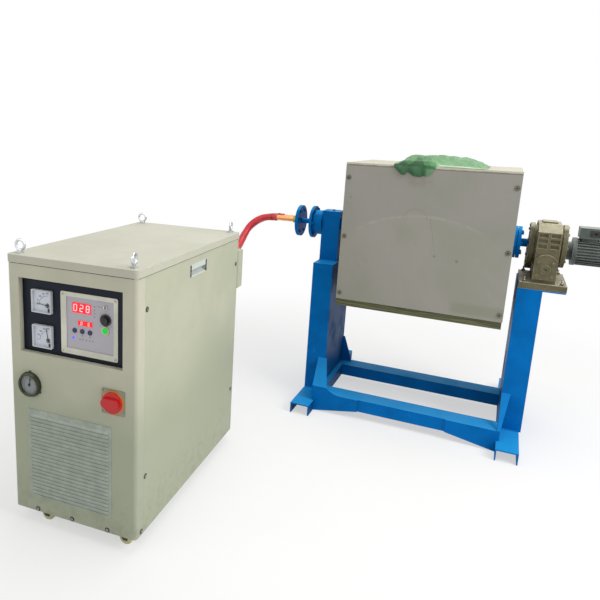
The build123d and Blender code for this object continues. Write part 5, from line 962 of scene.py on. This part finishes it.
def lobe_at(x):
    """How far the hem hangs and how far the fold bulges, at a distance from the left end."""
    swell = abs(sin(pi * min(x, hanging_width) / 0.064))
    for (start, low), (end, high) in zip(hem_line, hem_line[1:]):
        if x <= end:
            return low + (high - low) * (x - start) / (end - start), 0.003 + 0.01 * swell
    return hem_line[-1][1], 0.003


def crumple(x, y):
    """Creases of a cloth that was dropped in a heap: sharp ridges between flat facets."""
    total = 0
    for scale, size in ((11, -0.0105), (24, -0.005), (52, 0.002)):
        bend = 0.8 * noise.noise(Vector((x * scale * 0.6, y * scale * 0.6, 9)))
        spot = Vector((x * scale * 1.25 + 3.1 + bend, y * scale * 0.6 + 1.7 + x * scale * 0.5, scale))
        nearest, second = noise.voronoi(spot)[0][:2]
        total += size * (min(1, (second - nearest) * 1.7) - 0.5)
    return total


def cloth_point(x, share):
    """Place of the cloth at a distance from its left end, share running from hem to back edge."""
    over = 1 - blend(x, hanging_width - 0.03, hanging_width + 0.02)
    edge_share = 0.17
    drop, bulge = lobe_at(x)
    hem_y = slab_front + (1 - over) * 0.011
    height = fold_height(x)
    if share < edge_share:
        fall = 1 - share / edge_share
        rounding = sin(pi * min(1, 1.12 - fall))
        y_hang = slab_front - 0.0015 - bulge * (0.35 + 0.65 * rounding)
        z_hang = slab_top + 0.004 - (drop + 0.004) * fall
        y = over * y_hang + (1 - over) * (hem_y + 0.006 * (1 - fall))
        z = over * z_hang + (1 - over) * (slab_top + 0.0016 + 0.0015 * (1 - fall))
        flutter = over * 0.0022 * noise.noise(Vector((x * 60, share * 9, 4)))
        return Vector((cloth_left + x, y + flutter, z))
    run = (share - edge_share) / (1 - edge_share)
    y_start = over * (slab_front - 0.0015 - bulge * 0.35) + (1 - over) * (hem_y + 0.006)
    depth = run * cloth_length
    rise = over * (0.5 + 0.5 * blend(depth, 0, 0.055))
    rise += (1 - over) * (0.06 + 0.94 * blend(depth, -0.02, 0.15))
    rise *= 1 - 0.1 * blend(depth, 0.2, 0.32)
    rise *= 1 - 0.985 * blend(depth, 0.3, 0.435)
    lean = 0.01 * sin(depth * 19 + x * 23)
    settle = blend(run, 0, 0.12) * (1 - blend(run, 0.86, 1))
    edge = blend(x, 0, 0.03) * (1 - blend(x, 0.375, 0.405))
    creases = crumple(x, depth) * settle * (0.35 + 0.65 * edge)
    z = slab_top + 0.0016 + over * 0.0024 * (1 - run) + max(0, height * rise + creases)
    y = y_start + depth
    ragged = 0.01 * noise.noise(Vector((x * 22, 7, 1))) * blend(run, 0.7, 1)
    return Vector((cloth_left + x + lean * settle * edge, y + ragged, z))


def cover_sheet():
    """Net cloth heaped over the mouth, with three lobes hanging over the front edge."""
    columns = 170
    rows = 150
    width = fold_places[-1]
    shape = bmesh.new()
    grid = []
    for row in range(rows + 1):
        share = (row / rows) ** 1.15
        line = []
        for column in range(columns + 1):
            line.append(shape.verts.new(cloth_point(width * column / columns, share)))
        grid.append(line)
    area = 0
    for first, second in zip(grid, grid[1:]):
        for i in range(columns):
            face = shape.faces.new((first[i], first[i + 1], second[i + 1], second[i]))
            area += face.calc_area()
    made = piece("cover_sheet", shape, "cloth", "cloth", sharp=180)
    bpy.context.view_layer.objects.active = made
    thick = made.modifiers.new("thickness", "SOLIDIFY")
    thick.thickness = 0.0012
    thick.offset = 1
    bpy.context.view_layer.update()
    solid = bpy.data.meshes.new_from_object(made.evaluated_get(bpy.context.evaluated_depsgraph_get()))
    made.modifiers.clear()
    made.data = solid
    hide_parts("cover_cloth")


cover_sheet()


# Pressure gauge dial
def gauge_dial():
    """Grey card, scale, numbers and rim of the pressure gauge, and the head of its needle."""
    a, z = 84, 549
    place = front_face(a, -5.9, z)
    card = plate(bmesh.new(), ring_points(0.0352, 48), 0, 0.0003, place)
    piece("gauge_card", card, "grey_card")
    face = front_face(a, -6.25, z)
    numbers = ("0", "2", "4", "6", "8", "10")
    dial_scale("gauge_scale", face, 0.0225, 225, -270, 20, numbers, 0.0062, 0.0006)
    profile = [(0.0352, 0), (0.0352, 0.0092), (0.0358, 0.0102), (0.0376, 0.0106), (0.0392, 0.0098)]
    piece("gauge_rim", lathe(bmesh.new(), profile, place, 64), "gauge")
    needle = front_face(a, -8.6, z) @ Matrix.Rotation(radians(80), 4, "Z")
    head = plate(bmesh.new(), [(0.0165, -0.0019), (0.0285, 0), (0.0165, 0.0019)], 0, 0.0008, needle)
    piece("gauge_arrow", head, "ink", "pressure_needle")


gauge_dial()


# Black insert of the motor's cable entry
entry_place = Vector((0.9225, 0.7489, 1.023))


def cable_entry_insert():
    """Black insert around the cable entry in the junction box."""
    shape = bmesh.new()
    for x, z, width, height in ((0.0155, 0, 0.013, 0.03), (0, 0.012, 0.018, 0.006)):
        for side in (-1, 1):
            spot = entry_place + Vector((x, 0, z)) * side
            place = axes_matrix(spot, Vector((1, 0, 0)), up, Vector((0, -1, 0)))
            plate(shape, rounded_rectangle(width, height, 0.001), 0, 0.0012, place)
    piece("cable_entry_insert", shape, "black")


cable_entry_insert()


# Screw slots
lid_gap_height = 976.8


def screw_crosses():
    """Dark crosses in the heads of the cabinet's screws and dark sockets in the furnace's screws."""
    cabinet_cross = bmesh.new()
    places = [front_face(a, -2.45, 65) for a in (100, 247, 393)]
    for side, a in ((1, 507 + 2.45), (-1, -2.45)):
        for b, z in ((60, 866), (60, 270), (867, 866), (867, 270), (36, 70)):
            places.append(side_face(a, b, z, side))
    for place in places:
        cross(cabinet_cross, place, 30, 0.0035, 0.0013)
    piece("cabinet_screw_crosses", cabinet_cross, "ink")
    rings = bmesh.new()
    for place in places:
        lathe(rings, [(0.0052, -0.0021), (0.0092, -0.0021), (0.0092, -0.0011), (0.0052, -0.0011)], place, 24)
    piece("cabinet_screw_washers", rings, "dark_paint")
    # Painted shade: a dark strip round the cabinet where the lid meets the body stands for the shade in the
    # gap.
    gap = bmesh.new()
    for a, b, length, across, out in (
        (253.5, -0.3, 0.478, cabinet_right, -cabinet_back),
        (507.3, 451, 0.885, cabinet_back, cabinet_right),
        (-0.3, 451, 0.885, -cabinet_back, -cabinet_right),
        (253.5, 902.3, 0.478, -cabinet_right, cabinet_back),
    ):
        place = axes_matrix(cabinet_point(a, b, lid_gap_height), across, up, out)
        plate(gap, rounded_rectangle(length, 0.0022, 0.0004), 0, 0.0003, place)
    piece("lid_gap_shade", gap, "ink")
    furnace_cross = bmesh.new()
    for y, side in ((0.3015 - 0.00498, -1), (0.9005 + 0.00498, 1)):
        for x in (-0.2055, 0.5435):
            for z in (0.664, 0.9555, 1.247):
                place = axes_matrix(Vector((x, y, z)), Vector((-side, 0, 0)), up, Vector((0, side, 0)))
                plate(furnace_cross, ring_points(0.0046, 6), 0, 0.0001, place)
    piece("furnace_screw_sockets", furnace_cross, "ink", "furnace")


screw_crosses()


# Meter caps and module details
def module_details():
    """Meter caps, the knob's scale, a painted highlight beside the knob, key dots and the screws' crosses of
    the control module.
    """
    caps = bmesh.new()
    for z in (851, 727):
        profile = [(0, 0.0032), (0.0056, 0.003), (0.0068, 0.0018), (0.007, 0)]
        lathe(caps, profile, front_face(158.5, 16.6, z - 29), 28)
    piece("meter_caps", caps, "black")
    face = front_face(377, 20.95, 820)
    dial_scale("knob_scale", face, 0.0225, 225, -270, 10, ("0", "5", "10"), 0.0045, 0.0006)
    # Painted highlight: a pale crescent at the lower left of the knob.
    knob_glint = bmesh.new()
    arc = ring_points(0.0212, 24, radians(150), radians(120))
    for first, second in zip(arc, arc[1:]):
        stroke(knob_glint, first, second, 0.003, 0.0002, face)
    piece("knob_highlight", knob_glint, "white_card")
    dots = bmesh.new()
    for a in (286, 316):
        lathe(dots, [(0, 0.0003), (0.0018, 0.0003), (0.0018, 0)], front_face(a, module_face, 752), 12)
    stroke(dots, (-0.026, 0), (-0.002, 0), 0.0008, 0.0002, front_face(370, module_face, 862))
    piece("module_dots", dots, "ink")
    crosses = bmesh.new()
    for a in (212, 415):
        for z in (691, 889):
            cross(crosses, front_face(a, 15.98, z), 20, 0.003, 0.0011)
    piece("module_screw_crosses", crosses, "ink")


module_details()


# Isolator marks
def isolator_marks():
    """Plain 0 and 1 beside the handle, in black."""
    shape = bmesh.new()
    a, b, z = isolator_middle
    print_text(shape, "1", 0.011, front_face(a - 38.5, b - 3.02, z - 36))
    print_text(shape, "0", 0.011, front_face(a - 37, b - 3.02, z + 36))
    piece("isolator_marks", shape, "ink")


isolator_marks()


# Side pulls
def side_pull_strips():
    """Black end strips in the pull handles' pockets."""
    for name, side, a in (("right", 1, 507), ("left", -1, 0)):
        shape = bmesh.new()
        for offset in (-70, 70):
            place = side_face(a + side * 1.3, 458 + offset, 926, side)
            plate(shape, rounded_rectangle(0.0085, 0.0465, 0.002), 0, 0.001, place, 0.0004)
        piece(name + "_pull_strips", shape, "black")


side_pull_strips()


# Welds on the stand
foot_top = 0.0575
column_top = 0.7705


def weld_bead(shape, start, end, radius, seed):
    """Rippled bead of weld from one point to another."""
    first = Vector(start)
    span = Vector(end) - first
    forward = span.normalized()
    side = forward.orthogonal().normalized()
    other = forward.cross(side)
    count = max(8, int(span.length / (radius * 0.55)))
    rings = []
    for step in range(count + 1):
        uneven = 0.12 * noise.noise(Vector((step * 0.7, seed, 0)))
        swell = radius * (0.86 + 0.22 * sin(step * 1.9 + seed) + uneven)
        if step in (0, count):
            swell *= 0.3
        middle = first + span * (step / count)
        points = [middle + (side * x + other * y) * swell for x, y in ring_points(1, 8)]
        rings.append([shape.verts.new(point) for point in points])
    join_rings(shape, rings, 8)


def stand_welds():
    """Beads where the columns stand on the feet and the post on its column."""
    shape = bmesh.new()
    for left in (-0.395, 0.605):
        foot_beads = (
            (0.004, 0.441, 0.096, 0.441), (0.004, 0.841, 0.096, 0.841), (0.0005, 0.445, 0.0005, 0.837)
        )
        for index, (start_x, start_y, end_x, end_y) in enumerate(foot_beads):
            start = (left + start_x, start_y, foot_top)
            weld_bead(shape, start, (left + end_x, end_y, foot_top), 0.0034, index + left)
    for start, end, seed in (
        ((-0.395, 0.552), (-0.297, 0.552), 3),
        ((-0.3945, 0.552), (-0.3945, 0.65), 5),
        ((-0.297, 0.552), (-0.297, 0.65), 7),
    ):
        weld_bead(shape, (*start, column_top), (*end, column_top), 0.0032, seed)
    collar = ring_points(0.0668, 40)
    for index, (first, second) in enumerate(zip(collar, collar[1:] + collar[:1])):
        start, end = (Vector((-0.3955, 0.601 + y, 0.97 + z)) for y, z in (first, second))
        if max(abs(first[0]), abs(second[0])) < 0.0489:
            weld_bead(shape, start, end, 0.003, index)
    piece("stand_welds", shape, "blue", sharp=60)


stand_welds()


# Studs and washers of the gearbox
def gearbox_hardware():
    """Zinc studs and washers on the gearbox's foot."""
    shape = bmesh.new()
    foot_face = 0.806
    nut_top = foot_face + 0.009
    for x in (0.7095 - 0.079, 0.7095 + 0.079):
        for y in (0.441 + 0.022, 0.441 + 0.32 - 0.022):
            place = Matrix.Translation((x, y, nut_top - 0.0002))
            profile = [(0.0048, 0), (0.0048, 0.0012)]
            for turn in range(9):
                height = 0.0012 + turn * 0.0016
                profile += [(0.0048, height), (0.0041, height + 0.0008)]
            profile += [(0.0036, 0.0164), (0, 0.0168)]
            lathe(shape, profile, place, 16)
            ring = Matrix.Translation((x, y, foot_face))
            lathe(shape, [(0.0088, 0), (0.0122, 0), (0.0122, 0.0018), (0.0088, 0.0018)], ring, 24)
    piece("gearbox_studs", shape, "steel")


gearbox_hardware()


# Sleeves and clamps of the hoses
def hose_ends():
    """Clear pinkish sleeve end and a wound clamp on each hose, where it grips its tube."""
    for name, x, y in (("near", -0.667, 0.579), ("far", -0.641, 0.623)):
        place = axes_matrix(Vector((x, y, 0.976)), Vector((0, 1, 0)), up, Vector((1, 0, 0)))
        profile = [(0.0191, -0.012), (0.0198, -0.01), (0.0198, -0.001), (0.0188, 0.0005), (0.0153, 0.0005)]
        sleeve = lathe(bmesh.new(), profile, place, 36)
        piece(name + "_hose_sleeve", sleeve, "sleeve")
        band = bmesh.new()
        for turn in range(3):
            start = -0.034 + turn * 0.0032
            profile = []
            for step in range(9):
                angle = pi * step / 8
                profile.append((0.0194 + 0.0011 * sin(angle), start + 0.0014 * (1 - cos(angle))))
            lathe(band, profile, place, 36)
        piece(name + "_hose_clamp", band, "clamp")


hose_ends()


# Floor, backdrop and light
def seen_straight(tree):
    """1 for rays from the camera, a mirror or clear glass, 0 for rays that light the object."""
    rays = node(tree, "LightPath").outputs
    seen = sums("MAXIMUM", rays["Is Camera Ray"], rays["Is Glossy Ray"])
    return sums("MAXIMUM", seen, rays["Is Transmission Ray"])


def studio():
    """Pale floor that fades to a white backdrop, with soft light from the right and above."""
    floor_shape = bmesh.new()
    bmesh.ops.create_grid(floor_shape, x_segments=1, y_segments=1, size=30)
    data = bpy.data.meshes.new("studio_floor")
    floor_shape.to_mesh(data)
    floor_shape.free()
    floor = add_object("studio_floor", data)
    white = (1, 1, 1, 1)
    made, tree = shader("floor_paint", Roughness=0.9)
    dressed(made, mix(grain(tree, 2), rgb(238, 238, 236), rgb(246, 246, 244)))
    glow = node(tree, "Emission", {"Color": white})
    distance = node(tree, "VectorMath", {0: place_on(tree)}, operation="LENGTH").outputs["Value"]
    share = times(spread(distance, 1.4, 3.2, 0.55, 1), seen_straight(tree))
    paint = tree.nodes["Principled BSDF"].outputs[0]
    blended = node(tree, "MixShader", {0: share, 1: paint, 2: glow.outputs[0]})
    feed(tree.nodes["Material Output"].inputs["Surface"], blended.outputs[0])
    data.materials.append(made)
    world = bpy.data.worlds.new("studio")
    bpy.context.scene.world = world
    world.use_nodes = True
    backdrop = world.node_tree.nodes["Background"]
    feed(backdrop.inputs["Color"], white)
    feed(backdrop.inputs["Strength"], spread(seen_straight(world.node_tree), 0, 1, 0.46, 1))
    for name, place, size, power in (
        ("key", (3.4, -0.8, 3.4), 2.2, 125),
        ("fill", (-2.4, -3.6, 2.8), 3, 22),
        ("top", (0, 0.4, 4.2), 3, 62),
    ):
        lamp_data = bpy.data.lights.new(name, "AREA")
        lamp_data.size = size
        lamp_data.energy = power
        light = add_object(name, lamp_data)
        light.location = place
        direction = Vector((-0.2, 0.1, 0.7)) - Vector(place)
        light.rotation_euler = direction.to_track_quat("-Z", "Y").to_euler()
    bpy.context.scene.view_settings.view_transform = "Standard"


studio()
